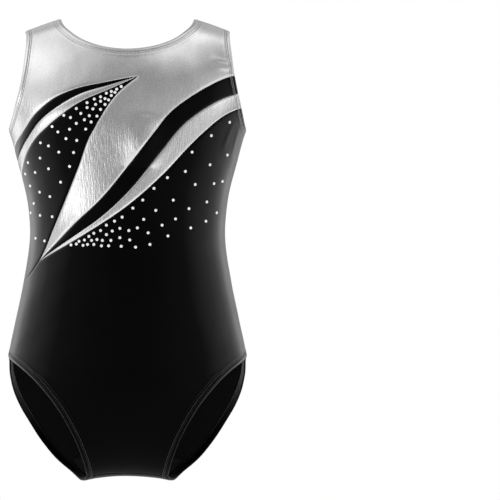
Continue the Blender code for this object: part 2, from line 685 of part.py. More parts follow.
def add_overlocks():
    for word, hand in (("left", LEFT), ("right", RIGHT)):
        add_overlock(word + "_side_overlock", FRONT, SIDE_SEAM[hand],
                     OVERLOCK_TO_HEM, OVERLOCK_TO_HEM)
        add_overlock(word + "_shoulder_overlock", FRONT, SHOULDER_SEAM[hand],
                     OVERLOCK_TO_HEM, OVERLOCK_TO_HEM)
    add_overlock("crotch_overlock", FRONT, FRONT_CROTCH, OVERLOCK_TO_HEM, OVERLOCK_TO_HEM)
    front_seams = {
        # name: (seam, length left bare at its start, length left bare at its end). More is left
        # bare at a tip, where there is no room between the seams.
        "black_crescent_overlock": (FRONT_BLACK_TOP, 0.006, OVERLOCK_TO_SEAM),
        "silver_crescent_overlock": (FRONT_BLACK_SILVER, 0.032, OVERLOCK_TO_SEAM),
        "side_panel_top_overlock": (FRONT_SILVER_LOW, 0.016, OVERLOCK_TO_SEAM),
        "side_panel_overlock": (SIDE_PANEL_SEAM, 0.012, OVERLOCK_TO_SEAM),
        "black_sweep_overlock": (SWEEP_TOP, OVERLOCK_TO_HEM, 0.012),
        "silver_sweep_overlock": (SWEEP_MIDDLE, OVERLOCK_TO_HEM, 0.026),
        "body_sweep_overlock": (SWEEP_LOW, OVERLOCK_TO_HEM, 0.016),
    }
    whole_yoke_seam = np.concatenate([YOKE_SEAM, BACK_SILVER_LOW[1:]])
    back_seams = {
        "yoke_overlock": (whole_yoke_seam, OVERLOCK_TO_HEM, OVERLOCK_TO_SEAM),
        "back_silver_crescent_overlock": (BACK_SILVER_TOP, 0.028, OVERLOCK_TO_SEAM),
        "back_black_crescent_overlock": (BACK_BLACK_TOP, 0.022, OVERLOCK_TO_SEAM),
    }
    for name, (curve, start_trim, end_trim) in front_seams.items():
        add_overlock(name, FRONT, curve, start_trim, end_trim)
    for name, (curve, start_trim, end_trim) in back_seams.items():
        add_overlock(name, BACK, curve, start_trim, end_trim)


COLLECTION, ROOT = start_scene()
add_front_panels()
add_back_panels()
add_crotch_lining()
add_hems()
add_overlocks()
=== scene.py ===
"""Looks of the gymnastics leotard: every panel as one sheet of fabric with folded hems and sunken
seams, the rows of stitching, the overlocked edges inside, the lining and the rhinestones.

Metres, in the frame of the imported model. The torso, the seams and the edges repeat the design of
the CAD part: a place is a pattern point (u, v) on the front or the back sheet.
"""

import math

import bpy
import numpy as np
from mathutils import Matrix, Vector
from mathutils.geometry import delaunay_2d_cdt


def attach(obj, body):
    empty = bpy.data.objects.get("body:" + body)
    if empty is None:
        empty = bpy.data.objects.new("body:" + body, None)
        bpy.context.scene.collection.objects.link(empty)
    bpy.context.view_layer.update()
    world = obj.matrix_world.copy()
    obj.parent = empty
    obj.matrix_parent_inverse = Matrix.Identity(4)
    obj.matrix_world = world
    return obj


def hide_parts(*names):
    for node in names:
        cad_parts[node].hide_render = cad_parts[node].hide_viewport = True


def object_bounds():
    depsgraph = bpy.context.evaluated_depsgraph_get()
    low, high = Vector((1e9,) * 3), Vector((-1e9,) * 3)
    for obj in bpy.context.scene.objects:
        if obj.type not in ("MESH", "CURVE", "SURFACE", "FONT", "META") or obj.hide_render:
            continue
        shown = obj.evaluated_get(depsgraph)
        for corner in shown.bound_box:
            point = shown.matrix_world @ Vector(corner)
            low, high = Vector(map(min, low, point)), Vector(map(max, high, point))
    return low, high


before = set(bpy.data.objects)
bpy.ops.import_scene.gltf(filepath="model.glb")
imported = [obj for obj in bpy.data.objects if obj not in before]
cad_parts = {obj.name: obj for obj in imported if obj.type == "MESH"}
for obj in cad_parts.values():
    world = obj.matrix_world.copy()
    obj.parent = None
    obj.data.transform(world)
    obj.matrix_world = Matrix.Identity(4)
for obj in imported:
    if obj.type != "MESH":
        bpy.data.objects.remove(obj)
CAD_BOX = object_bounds()

# ---------------- the torso's dimensions
HALF_WIDTH = (
    (-0.520, 0.1420), (-0.440, 0.1402), (-0.404, 0.1370), (-0.378, 0.1338), (-0.340, 0.1258),
    (-0.292, 0.1160), (-0.240, 0.1092), (-0.200, 0.1128), (-0.160, 0.1228), (-0.124, 0.1330),
    (-0.095, 0.1440), (-0.055, 0.1522), (0.020, 0.1535),
)
FRONT_DEPTH = (
    (-0.520, 0.076), (-0.400, 0.079), (-0.300, 0.080), (-0.240, 0.076), (-0.180, 0.080),
    (-0.124, 0.084), (0.020, 0.083),
)
BACK_DEPTH = (
    (-0.520, 0.094), (-0.400, 0.096), (-0.330, 0.084), (-0.240, 0.063), (-0.180, 0.073),
    (-0.110, 0.083), (0.020, 0.074),
)
CHEST_Z = -0.124
SEAT_Z = -0.400
SHOULDER_TOP = 0.0100
SHOULDER_FALL = 1.833
CROTCH_Z = -0.5118
CROTCH_FALL = 2.11
GIRTH_SCALE = 0.108
SHOULDER_SCALE = 0.108
CROTCH_SCALE = 0.095
CROTCH_SEAM = math.radians(75.0)
UNDERARM_Z = -0.124
HIP_Z = -0.378
NECK_X = 0.074
SHOULDER_X = 0.115
CROTCH_X = 0.0455

# ---------------- the fabric's dimensions
VELVET = 0.0009         # thickness
FOIL = 0.0006
LINING = 0.0005
LINING_DEPTH = 0.0042

SEAM_GAP = 0.00008      # each panel stops this far short of its seam line
SEAM_SINK = 0.0006      # how far the fabric dips at a seam
SEAM_WIDTH = 0.0011     # how wide that dip is on each side
SEAM_PUFF = 0.00008     # the low swelling beside the dip
PUFF_AT = 0.0042        # from the seam to the middle of that swelling
PUFF_WIDTH = 0.0020
SEAM_IN_HEM = 0.45      # the share of a seam's relief that is left where it crosses a hem
HEM_REACH = (0.006, 0.009)  # the hem's effect on a seam ends between these distances
FOLD_RADIUS = 0.0011    # of the turned-under hem
FOLD_TURNS = (40.0, 80.0, 120.0, 160.0, 180.0)  # degrees
HEM_WIDTH = 0.0068      # of the layer that is turned under
UNDER_ROWS = (0.0015, 0.0034, 0.0052, HEM_WIDTH)
HEM_RISE = 0.0004       # how far the elastic lifts the hem
RISE_STARTS = (0.0011, 0.0027)
RISE_ENDS = (0.0068, 0.0092)
ELASTIC_ROWS = (0.0024, 0.0058)  # the elastic's two edges, from the hem's edge
ELASTIC_DEPTH = 0.00096
ELASTIC_THICK = 0.0003
STITCH_INSET = (0.0047, 0.0065)  # the coverstitch's two rows, from the edge
STITCH_SINK = 0.00070   # how far the stitches pull the fabric in
STITCH_PULL = 0.00065   # how wide that is on each side
STITCH_LENGTH = 0.0027
STITCH_RADIUS = 0.00021
STITCH_SIDES = 6
# A stitch's rings: share of its length, and how far it stands above its row.
STITCH_ARCH = ((0.04, -0.00015), (0.16, 0.00016), (0.5, 0.00026), (0.84, 0.00016),
               (0.96, -0.00015))
OVERLOCK_DEPTH = 0.0027
OVERLOCK_STEP = 0.0008
OVERLOCK_SIDES = 12
FIN_HALF_WIDTH = 0.0023
FIN_HALF_THICK = 0.00075
LOOP_PITCH = 0.0020     # from one loop of the overlock's thread to the next
LOOP_RISE = 0.13        # how far a loop stands out, as a share of the fin's thickness
LOOP_SLANT = 2.0
FIN_TAPER = 0.002       # the length over which a fin's end narrows
FIN_END = 0.15          # how narrow its end is
OVERLOCK_TO_HEM = 0.010   # left without overlock where a seam meets a hem
OVERLOCK_TO_SEAM = 0.005  # left without overlock where a seam meets another seam

FINE_STEP = 0.001       # steps along a seam curve
OUTLINE_STEP = 0.0024   # steps along a panel's outline
PANEL_MESH = 0.0034     # triangles inside a panel
TIP_WIDTH = 0.0005      # a panel's sharp tip ends where it is this wide
TIP_SIDES = 4           # its two sides together are more than this many widths long
TIP_PARTS = 3           # and shorter than one of this many equal parts of the outline
CURVE_SAMPLES = 12      # read from a smooth curve for each of its points
WIDTH_ROUNDS = 12       # height and width depend on each other, and settle in this many rounds
SLOPE_STEP = 1e-5       # pattern distance over which the surface's slopes are taken
SAME_PLACE = 0.3 * FINE_STEP      # outline points closer than this are one point
CORNER_TURN = math.radians(20.0)  # an outline that turns more than this has a corner
MITRE = 0.2             # corners sharper than this keep each edge's own gap
POINTS_APART = 0.00035  # no two of a panel's inner points are closer
ROW_KEEPS = 0.9         # the share of a row's distance that it keeps from all edges of its kind
INSIDE_ONLY = 1         # tells the triangulation to keep what is inside the outline
ONE_PLACE = 1e-9        # points closer than this are one point for the triangulation
ROWS_APART = (0.0008, 0.0006)  # from a seam's rows to a hem, and from a hem's rows to a seam
CLEAR_OF_ROWS = 0.6 * PANEL_MESH
FAR_AWAY = 1.0          # the distance to an edge where a panel has none of its kind
BLOCK = 2_000_000       # distances worked out at a time
# Rows of a panel's inner points beside its seams and its hems.
SEAM_ROWS = (0.0006, 0.0013, 0.0022, 0.0034)
HEM_ROWS = (0.0006, 0.0014, 0.0022, 0.0030, 0.0036, 0.0042, 0.0048, 0.0054, 0.0060, 0.0068,
            0.0080)

FRONT, BACK = -1, 1
LEFT, RIGHT = 1, -1     # the wearer's left and right
SEAM, HEM = 0, 1        # what an edge of a panel is


# ---------------- curves
def hermite(knots, values, at):
    """Smooth curve through values at rising knots, read at the given places."""
    knots = np.asarray(knots, float)
    values = np.asarray(values, float).reshape(len(knots), -1)
    at = np.clip(np.asarray(at, float), knots[0], knots[-1])
    gaps = np.diff(knots)[:, None]
    slopes = np.diff(values, axis=0) / gaps
    tangents = np.empty_like(values)
    tangents[1:-1] = (slopes[:-1] * gaps[1:] + slopes[1:] * gaps[:-1]) / (gaps[:-1] + gaps[1:])
    tangents[0] = 1.5 * slopes[0] - 0.5 * tangents[1] if len(knots) > 2 else slopes[0]
    tangents[-1] = 1.5 * slopes[-1] - 0.5 * tangents[-2] if len(knots) > 2 else slopes[0]
    index = np.clip(np.searchsorted(knots, at, side="right") - 1, 0, len(knots) - 2)
    gap = gaps[index]
    t = (at - knots[index])[..., None] / gap
    start = (1 + 2 * t) * (1 - t) ** 2 * values[index] + t * (1 - t) ** 2 * gap * tangents[index]
    end = t * t * (3 - 2 * t) * values[index + 1] + t * t * (t - 1) * gap * tangents[index + 1]
    return start + end


def profile(table, z):
    """A dimension that changes with height, read at z."""
    heights, sizes = zip(*table)
    return hermite(heights, sizes, z)[..., 0]


def lengths_along(points):
    steps = np.linalg.norm(np.diff(points, axis=0), axis=1)
    return np.concatenate(([0.0], np.cumsum(steps)))


def resample(points, step):
    """Evenly spaced points along a line of points, its two ends included."""
    along = lengths_along(points)
    count = max(1, round(along[-1] / step))
    places = np.linspace(0.0, along[-1], count + 1)
    return np.stack([np.interp(places, along, column) for column in points.T], axis=1)


def smooth_curve(points):
    """A smooth curve through a few pattern points, in fine steps."""
    points = np.array(points, float)
    along = lengths_along(points)
    places = np.linspace(0.0, along[-1], CURVE_SAMPLES * len(points) + 1)
    return resample(hermite(along, points, places), FINE_STEP)


def piece(curve, start, end):
    """The stretch of a curve from start to end, two points that lie on it."""
    first = int(np.argmin(np.linalg.norm(curve - start, axis=1)))
    last = int(np.argmin(np.linalg.norm(curve - end, axis=1)))
    stretch = curve[first:last + 1] if first <= last else curve[last:first + 1][::-1]
    return np.concatenate([[start], stretch[1:-1], [end]])


def trimmed(curve, start, end):
    """A curve without its first and last stretches, whose lengths are given."""
    along = lengths_along(curve)
    return curve[(along >= start) & (along <= along[-1] - end)]


def following(points):
    """For each point of a closed line, the next one."""
    return np.roll(points, -1, axis=0)


def preceding(points):
    return np.roll(points, 1, axis=0)


def unit(vectors):
    return vectors / np.linalg.norm(vectors, axis=-1, keepdims=True)


def smoothstep(low, high, value):
    t = np.clip((value - low) / (high - low), 0.0, 1.0)
    return t * t * (3.0 - 2.0 * t)


# ---------------- the torso
def shoulder_line(x):
    return SHOULDER_TOP - SHOULDER_FALL * x * x


def crotch_line(x):
    return CROTCH_Z - CROTCH_FALL * x * x


def seen(x, z):
    """Pattern point of a place seen at (x, z) from the front or from behind."""
    u = GIRTH_SCALE * math.asin(max(-1.0, min(1.0, x / float(profile(HALF_WIDTH, z)))))
    if z > CHEST_Z:
        turn = math.asin(min(1.0, (z - CHEST_Z) / (shoulder_line(x) - CHEST_Z)))
        return (u, CHEST_Z + SHOULDER_SCALE * turn)
    if z < SEAT_Z:
        turn = math.asin(min(1.0, (SEAT_Z - z) / (SEAT_Z - crotch_line(x))))
        return (u, SEAT_Z - CROTCH_SCALE * turn)
    return (u, z)


def on_side(hand, z):
    """Pattern point on a side seam."""
    return (hand * GIRTH_SCALE * math.pi / 2, z)


def on_shoulder(x):
    """Pattern point on a shoulder seam."""
    return seen(x, shoulder_line(x))


def under_seat(x, turn):
    """Pattern point on the lower round, turn radians below the seat line."""
    width = float(profile(HALF_WIDTH, SEAT_Z + (crotch_line(x) - SEAT_Z) * math.sin(turn)))
    return (GIRTH_SCALE * math.asin(x / width), SEAT_Z - CROTCH_SCALE * turn)


def torso(u, v, sheet):
    """Points of the torso's surface. Past a side seam or the crotch it goes on to the other
    sheet."""
    a = np.asarray(u) / GIRTH_SCALE
    v = np.asarray(v)
    over = np.maximum(v - CHEST_Z, 0.0) / SHOULDER_SCALE
    under = np.maximum(SEAT_Z - v, 0.0) / CROTCH_SCALE
    x = np.zeros_like(a + v)
    z = v + x
    for _ in range(WIDTH_ROUNDS):
        high = CHEST_Z + (shoulder_line(x) - CHEST_Z) * np.sin(over)
        low = SEAT_Z + (crotch_line(x) - SEAT_Z) * np.sin(under)
        z = np.where(v > CHEST_Z, high, np.where(v < SEAT_Z, low, v))
        x = profile(HALF_WIDTH, z) * np.sin(a)
    out = sheet * np.cos(a) * np.cos(over) * np.cos(under)
    depth = np.where(out < 0.0, profile(FRONT_DEPTH, z), profile(BACK_DEPTH, z))
    return np.stack([x, out * depth, z], axis=-1)


def torso_slopes(u, v, sheet):
    """How the surface moves with u and with v, and its outward normal."""
    step = SLOPE_STEP
    along_u = (torso(u + step, v, sheet) - torso(u - step, v, sheet)) / (2 * step)
    along_v = (torso(u, v + step, sheet) - torso(u, v - step, sheet)) / (2 * step)
    return along_u, along_v, unit(np.cross(along_v, along_u) * np.asarray(sheet)[..., None])


def moved(u, v, sheet, direction, distance):
    """Pattern points after a move along the surface, in a direction given in space."""
    along_u, along_v, _ = torso_slopes(u, v, sheet)
    uu = np.sum(along_u * along_u, axis=1)
    uv = np.sum(along_u * along_v, axis=1)
    vv = np.sum(along_v * along_v, axis=1)
    du = np.sum(along_u * direction, axis=1)
    dv = np.sum(along_v * direction, axis=1)
    scale = distance / (uu * vv - uv * uv)
    return u + scale * (vv * du - uv * dv), v + scale * (uu * dv - uv * du)


# ---------------- edges and seams
def neck_edge(*right_half):
    """A neck edge from the right shoulder to the left, from the points of its right half."""
    left_half = [(-x, z) for x, z in reversed(right_half) if x < 0.0]
    points = [seen(x, z) for x, z in list(right_half) + left_half]
    return smooth_curve([on_shoulder(-NECK_X)] + points + [on_shoulder(NECK_X)])


FRONT_NECK = neck_edge((-0.0655, -0.0122), (-0.050, -0.0228), (-0.030, -0.0300), (0.0, -0.0335))
BACK_NECK = neck_edge((-0.0690, -0.0100), (-0.052, -0.0240), (-0.030, -0.0316), (0.0, -0.0350))


def armhole_edge(hand, *points):
    """An armhole's edge on one sheet, from the shoulder seam to the underarm."""
    middle = [seen(hand * x, z) for x, z in points]
    return smooth_curve([on_shoulder(hand * SHOULDER_X)] + middle + [on_side(hand, UNDERARM_Z)])


FRONT_ARMHOLE = {
    LEFT: armhole_edge(LEFT, (0.1166, -0.036), (0.1200, -0.062), (0.1243, -0.084),
                       (0.1292, -0.106), (0.1320, -0.1192)),
    RIGHT: armhole_edge(RIGHT, (0.1146, -0.036), (0.1180, -0.062), (0.1227, -0.084),
                        (0.1284, -0.106), (0.1320, -0.1192)),
}
BACK_ARMHOLE = {
    LEFT: armhole_edge(LEFT, (0.1154, -0.025), (0.1173, -0.046), (0.1207, -0.068),
                       (0.1256, -0.092), (0.1302, -0.112), (0.1322, -0.1195)),
    RIGHT: armhole_edge(RIGHT, (0.1140, -0.025), (0.1153, -0.046), (0.1188, -0.068),
                        (0.1243, -0.092), (0.1297, -0.112), (0.1322, -0.1195)),
}


def leg_edge(hand, points, crotch_turns):
    """A leg opening's edge on one sheet, from the hip to the crotch seam."""
    middle = [seen(hand * x, z) for x, z in points]
    crotch = [under_seat(hand * x, turn) for x, turn in crotch_turns]
    return smooth_curve([on_side(hand, HIP_Z)] + middle + crotch)


FRONT_LEG = {
    hand: leg_edge(hand, ((0.1290, -0.3835), (0.1205, -0.3900), (0.1115, -0.3975),
                          (0.1090, -0.4000), (0.1065, -0.4025), (0.0960, -0.4138),
                          (0.0800, -0.4340), (0.0610, -0.4670), (0.0515, -0.4900)),
                   ((CROTCH_X, CROTCH_SEAM),))
    for hand in (LEFT, RIGHT)
}
BACK_LEG = {
    hand: leg_edge(hand, ((0.1330, -0.3835), (0.1328, -0.3930), (0.1324, -0.3975),
                          (0.1321, -0.4000), (0.1317, -0.4025), (0.1290, -0.4150),
                          (0.1220, -0.4330), (0.1130, -0.4490), (0.0990, -0.4710),
                          (0.0810, -0.4930), (0.0640, -0.5075)),
                   ((0.0505, math.pi / 2), (CROTCH_X, math.pi - CROTCH_SEAM)))
    for hand in (LEFT, RIGHT)
}
SIDE_SEAM = {
    hand: smooth_curve([on_side(hand, UNDERARM_Z), on_side(hand, HIP_Z)]) for hand in (LEFT, RIGHT)
}
SHOULDER_SEAM = {
    hand: smooth_curve([on_shoulder(hand * x) for x in (NECK_X, 0.5 * (NECK_X + SHOULDER_X),
                                                         SHOULDER_X)])
    for hand in (LEFT, RIGHT)
}
FRONT_CROTCH = smooth_curve([under_seat(x, CROTCH_SEAM) for x in (CROTCH_X, 0.0, -CROTCH_X)])
BACK_CROTCH = smooth_curve([under_seat(x, math.pi - CROTCH_SEAM)
                            for x in (CROTCH_X, 0.0, -CROTCH_X)])


def seam(start, points, end):
    return smooth_curve([start] + [seen(x, z) for x, z in points] + [end])


def armhole_point(edge, z):
    """The place on an armhole's edge at height z."""
    heights = torso(edge[:, 0], edge[:, 1], FRONT)[:, 2]
    return tuple(edge[int(np.argmin(np.abs(heights - z)))])


CRESCENT_TIP = seen(0.0125, -0.0645)
SWEEP_TIP = seen(-0.0995, -0.2715)
BLACK_TOP_SIDE = on_side(RIGHT, -0.147)
BLACK_SILVER_SIDE = on_side(RIGHT, -0.160)
SILVER_LOW_SIDE = on_side(RIGHT, -0.177)
SIDE_PANEL_LOW = on_side(RIGHT, -0.292)

FRONT_BLACK_TOP = seam(CRESCENT_TIP, (
    (-0.020, -0.0705), (-0.060, -0.0795), (-0.080, -0.0880), (-0.100, -0.1035),
    (-0.120, -0.1310)), BLACK_TOP_SIDE)
FRONT_BLACK_SILVER = seam(CRESCENT_TIP, (
    (-0.020, -0.0742), (-0.050, -0.0830), (-0.080, -0.0995), (-0.100, -0.1162), (-0.113, -0.1350),
    (-0.121, -0.1500)), BLACK_SILVER_SIDE)
FRONT_SILVER_LOW = seam(CRESCENT_TIP, (
    (-0.020, -0.0792), (-0.050, -0.0920), (-0.080, -0.1125), (-0.100, -0.1305), (-0.113, -0.1500),
    (-0.1175, -0.1650)), SILVER_LOW_SIDE)
SIDE_PANEL_SEAM = seam(CRESCENT_TIP, (
    (-0.010, -0.0825), (-0.030, -0.1100), (-0.0410, -0.1295), (-0.055, -0.1660),
    (-0.070, -0.2030), (-0.085, -0.2390), (-0.0995, -0.2715), (-0.1065, -0.2820)), SIDE_PANEL_LOW)
SWEEP_TOP = seam(armhole_point(FRONT_ARMHOLE[LEFT], -0.0635), (
    (0.110, -0.0670), (0.090, -0.0765), (0.070, -0.0885), (0.050, -0.1035), (0.030, -0.1270),
    (0.000, -0.1660), (-0.030, -0.2020), (-0.060, -0.2300), (-0.085, -0.2560)), SWEEP_TIP)
SWEEP_MIDDLE = seam(armhole_point(FRONT_ARMHOLE[LEFT], -0.0835), (
    (0.110, -0.0885), (0.080, -0.1052), (0.060, -0.1218), (0.040, -0.1460), (0.000, -0.1945),
    (-0.030, -0.2220), (-0.060, -0.2430), (-0.085, -0.2600)), SWEEP_TIP)
SWEEP_LOW = seam(armhole_point(FRONT_ARMHOLE[LEFT], -0.1005), (
    (0.110, -0.1080), (0.090, -0.1235), (0.070, -0.1425), (0.040, -0.1745), (0.000, -0.2095),
    (-0.040, -0.2362), (-0.070, -0.2540)), SWEEP_TIP)

SILVER_BACK_TIP = seen(0.064, -0.0722)
BLACK_BACK_TIP = seen(0.039, -0.0752)
YOKE_SEAM = seam(armhole_point(BACK_ARMHOLE[LEFT], -0.0545), (
    (0.108, -0.0592), (0.089, -0.0650)), SILVER_BACK_TIP)
BACK_SILVER_LOW = seam(SILVER_BACK_TIP, (
    (0.029, -0.0820), (-0.001, -0.0900), (-0.031, -0.0985), (-0.051, -0.1065), (-0.071, -0.1195),
    (-0.091, -0.1400), (-0.1105, -0.1640)), SILVER_LOW_SIDE)
BACK_SILVER_TOP = seam(SILVER_BACK_TIP, (
    (0.039, -0.0752), (-0.001, -0.0815), (-0.041, -0.0885), (-0.061, -0.0945), (-0.081, -0.1080),
    (-0.101, -0.1287), (-0.119, -0.1505)), BLACK_SILVER_SIDE)
BACK_BLACK_TOP = seam(BLACK_BACK_TIP, (
    (-0.001, -0.0760), (-0.041, -0.0765), (-0.061, -0.0805), (-0.081, -0.0905), (-0.101, -0.1102),
    (-0.1205, -0.1330)), BLACK_TOP_SIDE)

# Creases where the garment hangs slack: (sheet, start, end, half-width, height), seen from the
# front. Below 1, the power keeps a crease high nearly to its ends.
CREASE_POWER = 0.8
CREASES = (
    (FRONT, (0.094, -0.0445), (0.117, -0.0500), 0.0022, 0.0010),
    (FRONT, (0.097, -0.0540), (0.118, -0.0565), 0.0020, 0.0009),
    (FRONT, (0.022, -0.1060), (0.013, -0.1660), 0.0150, 0.0064),
    (FRONT, (0.119, -0.1150), (0.106, -0.1500), 0.0030, 0.0006),
    (FRONT, (0.126, -0.1180), (0.116, -0.1560), 0.0028, 0.0005),
    (BACK, (-0.098, -0.0200), (-0.126, -0.0800), 0.0035, 0.0012),
    (BACK, (-0.108, -0.0240), (-0.129, -0.0980), 0.0030, 0.0009),
    (BACK, (-0.076, -0.0500), (-0.104, -0.0680), 0.0060, 0.0008),
    (BACK, (0.086, -0.0340), (0.114, -0.0390), 0.0055, 0.0008),
)


# ---------------- outlines
def distances(points, starts, ends):
    """Distance from each point to the nearest of some straight edges."""
    if len(starts) == 0:
        return np.full(len(points), FAR_AWAY)
    runs = ends - starts
    squares = np.sum(runs * runs, axis=1)
    nearest = []
    for block in np.array_split(points, max(1, len(points) * len(starts) // BLOCK)):
        offsets = block[:, None, :] - starts[None, :, :]
        share = np.clip(np.sum(offsets * runs, axis=2) / squares, 0.0, 1.0)
        nearest.append(np.min(np.linalg.norm(offsets - share[..., None] * runs, axis=2), axis=1))
    return np.concatenate(nearest)


def inside_outline(points, outline):
    """Which points lie inside a closed outline, by counting the edges to their right."""
    x, y = points[:, 0:1], points[:, 1:2]
    after = following(outline)
    low, high = outline[:, 1] <= y, after[:, 1] <= y
    rise = np.where(after[:, 1] == outline[:, 1], 1.0, after[:, 1] - outline[:, 1])
    crossing = outline[:, 0] + (y - outline[:, 1]) / rise * (after[:, 0] - outline[:, 0])
    return np.sum((low != high) & (crossing > x), axis=1) % 2 == 1


def hem(curve):
    """A stretch of an outline that is hemmed. A plain curve is a stretch that is sewn."""
    return (curve, HEM)


def joined(stretches):
    """One closed anticlockwise outline from stretches that follow each other, and the kind of
    each of its edges."""
    pairs = [stretch if isinstance(stretch, tuple) else (stretch, SEAM) for stretch in stretches]
    points = np.concatenate([curve[:-1] for curve, _ in pairs])
    kinds = np.concatenate([np.full(len(curve) - 1, kind) for curve, kind in pairs])
    after = following(points)
    if np.sum(points[:, 0] * after[:, 1] - after[:, 0] * points[:, 1]) < 0.0:
        points, kinds = points[::-1], np.roll(kinds[::-1], -1)
    apart = np.linalg.norm(following(points) - points, axis=1) > SAME_PLACE
    return points[apart], kinds[apart]


def blunted(outline, kinds, width):
    """A closed outline in fine steps, its sharp tips cut off where they are this wide."""
    while True:
        count = len(outline)
        apart = np.linalg.norm(outline[:, None, :] - outline[None, :, :], axis=2)
        steps = (np.arange(count)[None, :] - np.arange(count)[:, None]) % count
        narrow = (apart < width) & (steps > TIP_SIDES * width / FINE_STEP)
        narrow &= steps < count / TIP_PARTS
        if not narrow.any():
            return outline, kinds
        first, last = np.unravel_index(np.argmax(np.where(narrow, steps, 0)), narrow.shape)
        kinds = kinds.copy()
        kinds[first] = SEAM
        kept = (np.arange(count) - last) % count <= (first - last) % count
        outline, kinds = outline[kept], kinds[kept]


def stepped(outline, kinds, step):
    """A fine outline in longer steps, with a point kept wherever it turns or its kind changes."""
    before = outline - preceding(outline)
    after = following(outline) - outline
    turn = np.arctan2(before[:, 0] * after[:, 1] - before[:, 1] * after[:, 0],
                      np.sum(before * after, axis=1))
    changes = (np.abs(turn) > CORNER_TURN) | (kinds != np.roll(kinds, 1))
    corners = [int(i) for i in np.nonzero(changes)[0]]
    points, new_kinds = [], []
    for corner, next_corner in zip(corners, corners[1:] + [corners[0] + len(outline)]):
        stretch = resample(outline[np.arange(corner, next_corner + 1) % len(outline)], step)[:-1]
        points.append(stretch)
        new_kinds.append(np.full(len(stretch), kinds[corner]))
    return np.concatenate(points), np.concatenate(new_kinds)


def inward_normals(outline):
    after = unit(following(outline) - outline)
    return np.stack([-after[:, 1], after[:, 0]], axis=1)


def inset(outline, gaps):
    """A closed outline with each of its edges moved inwards by its own gap."""
    after = inward_normals(outline)
    before = preceding(after)
    gap_after, gap_before = gaps, preceding(gaps)
    det = before[:, 0] * after[:, 1] - before[:, 1] * after[:, 0]
    corner = np.abs(det) > MITRE
    safe = np.where(corner, det, 1.0)
    mitred = np.stack([gap_before * after[:, 1] - gap_after * before[:, 1],
                       gap_after * before[:, 0] - gap_before * after[:, 0]], axis=1) / safe[:, None]
    middle = after + before
    middle /= np.sum(middle * middle, axis=1)[:, None]
    plain = middle * (gap_after + gap_before)[:, None]
    return outline + np.where(corner[:, None], mitred, plain)


# ---------------- the fabric's relief
def seam_relief(distance):
    dip = -SEAM_SINK * np.exp(-((distance / SEAM_WIDTH) ** 2))
    puff = SEAM_PUFF * np.exp(-(((distance - PUFF_AT) / PUFF_WIDTH) ** 2))
    return dip + puff


def hem_relief(distance):
    """The hem's elastic lifts the fabric between the fold and the rows of stitches."""
    lift = smoothstep(*RISE_STARTS, distance) * (1.0 - smoothstep(*RISE_ENDS, distance))
    pull = sum(np.exp(-(((distance - row) / STITCH_PULL) ** 2)) for row in STITCH_INSET)
    return HEM_RISE * lift - STITCH_SINK * pull


def crease_relief(points, sheet):
    """The low folds of CREASES, in pattern points."""
    relief = np.zeros(len(points))
    for crease_sheet, start, end, half_width, height in CREASES:
        if crease_sheet != sheet:
            continue
        start, end = np.array(seen(*start)), np.array(seen(*end))
        run = end - start
        share = (points - start) @ run / (run @ run)
        across = np.abs((points - start) @ np.array([-run[1], run[0]])) / np.linalg.norm(run)
        along = np.clip(share, 0.0, 1.0)
        rise = height * np.sin(math.pi * along) ** CREASE_POWER
        relief += rise * np.exp(-((across / half_width) ** 2))
    return relief


# Slow waves of a stretched fabric: their height, and two ripples that cross, each by how fast it
# turns along x, y and z, and where it starts.
WAVES = (
    (0.00016, (61.0, 40.0, 23.0), 0.0, (-15.0, 0.0, 47.0), 1.3),
    (0.00010, (118.0, 0.0, -71.0), 0.7, (0.0, 88.0, 97.0), 0.0),
)


def unevenness(place):
    return sum(height * np.sin(place @ first + start) * np.sin(place @ second + second_start)
               for height, first, start, second, second_start in WAVES)


# ---------------- objects
def add_object(name, data, materials):
    made = bpy.data.objects.new(name, data)
    bpy.context.scene.collection.objects.link(made)
    for material in materials:
        data.materials.append(material)
    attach(made, "root")
    return made


def mesh_object(name, points, faces, materials, smooth=True):
    mesh = bpy.data.meshes.new(name)
    mesh.from_pydata([tuple(p) for p in points], [], faces)
    if smooth:
        mesh.shade_smooth()
    return add_object(name, mesh, materials)


def thicken(sheet, thickness):
    """Give a sheet its thickness, inwards from its outer face."""
    solidify = sheet.modifiers.new("thickness", "SOLIDIFY")
    solidify.thickness = thickness
    solidify.offset = -1.0
    return solidify


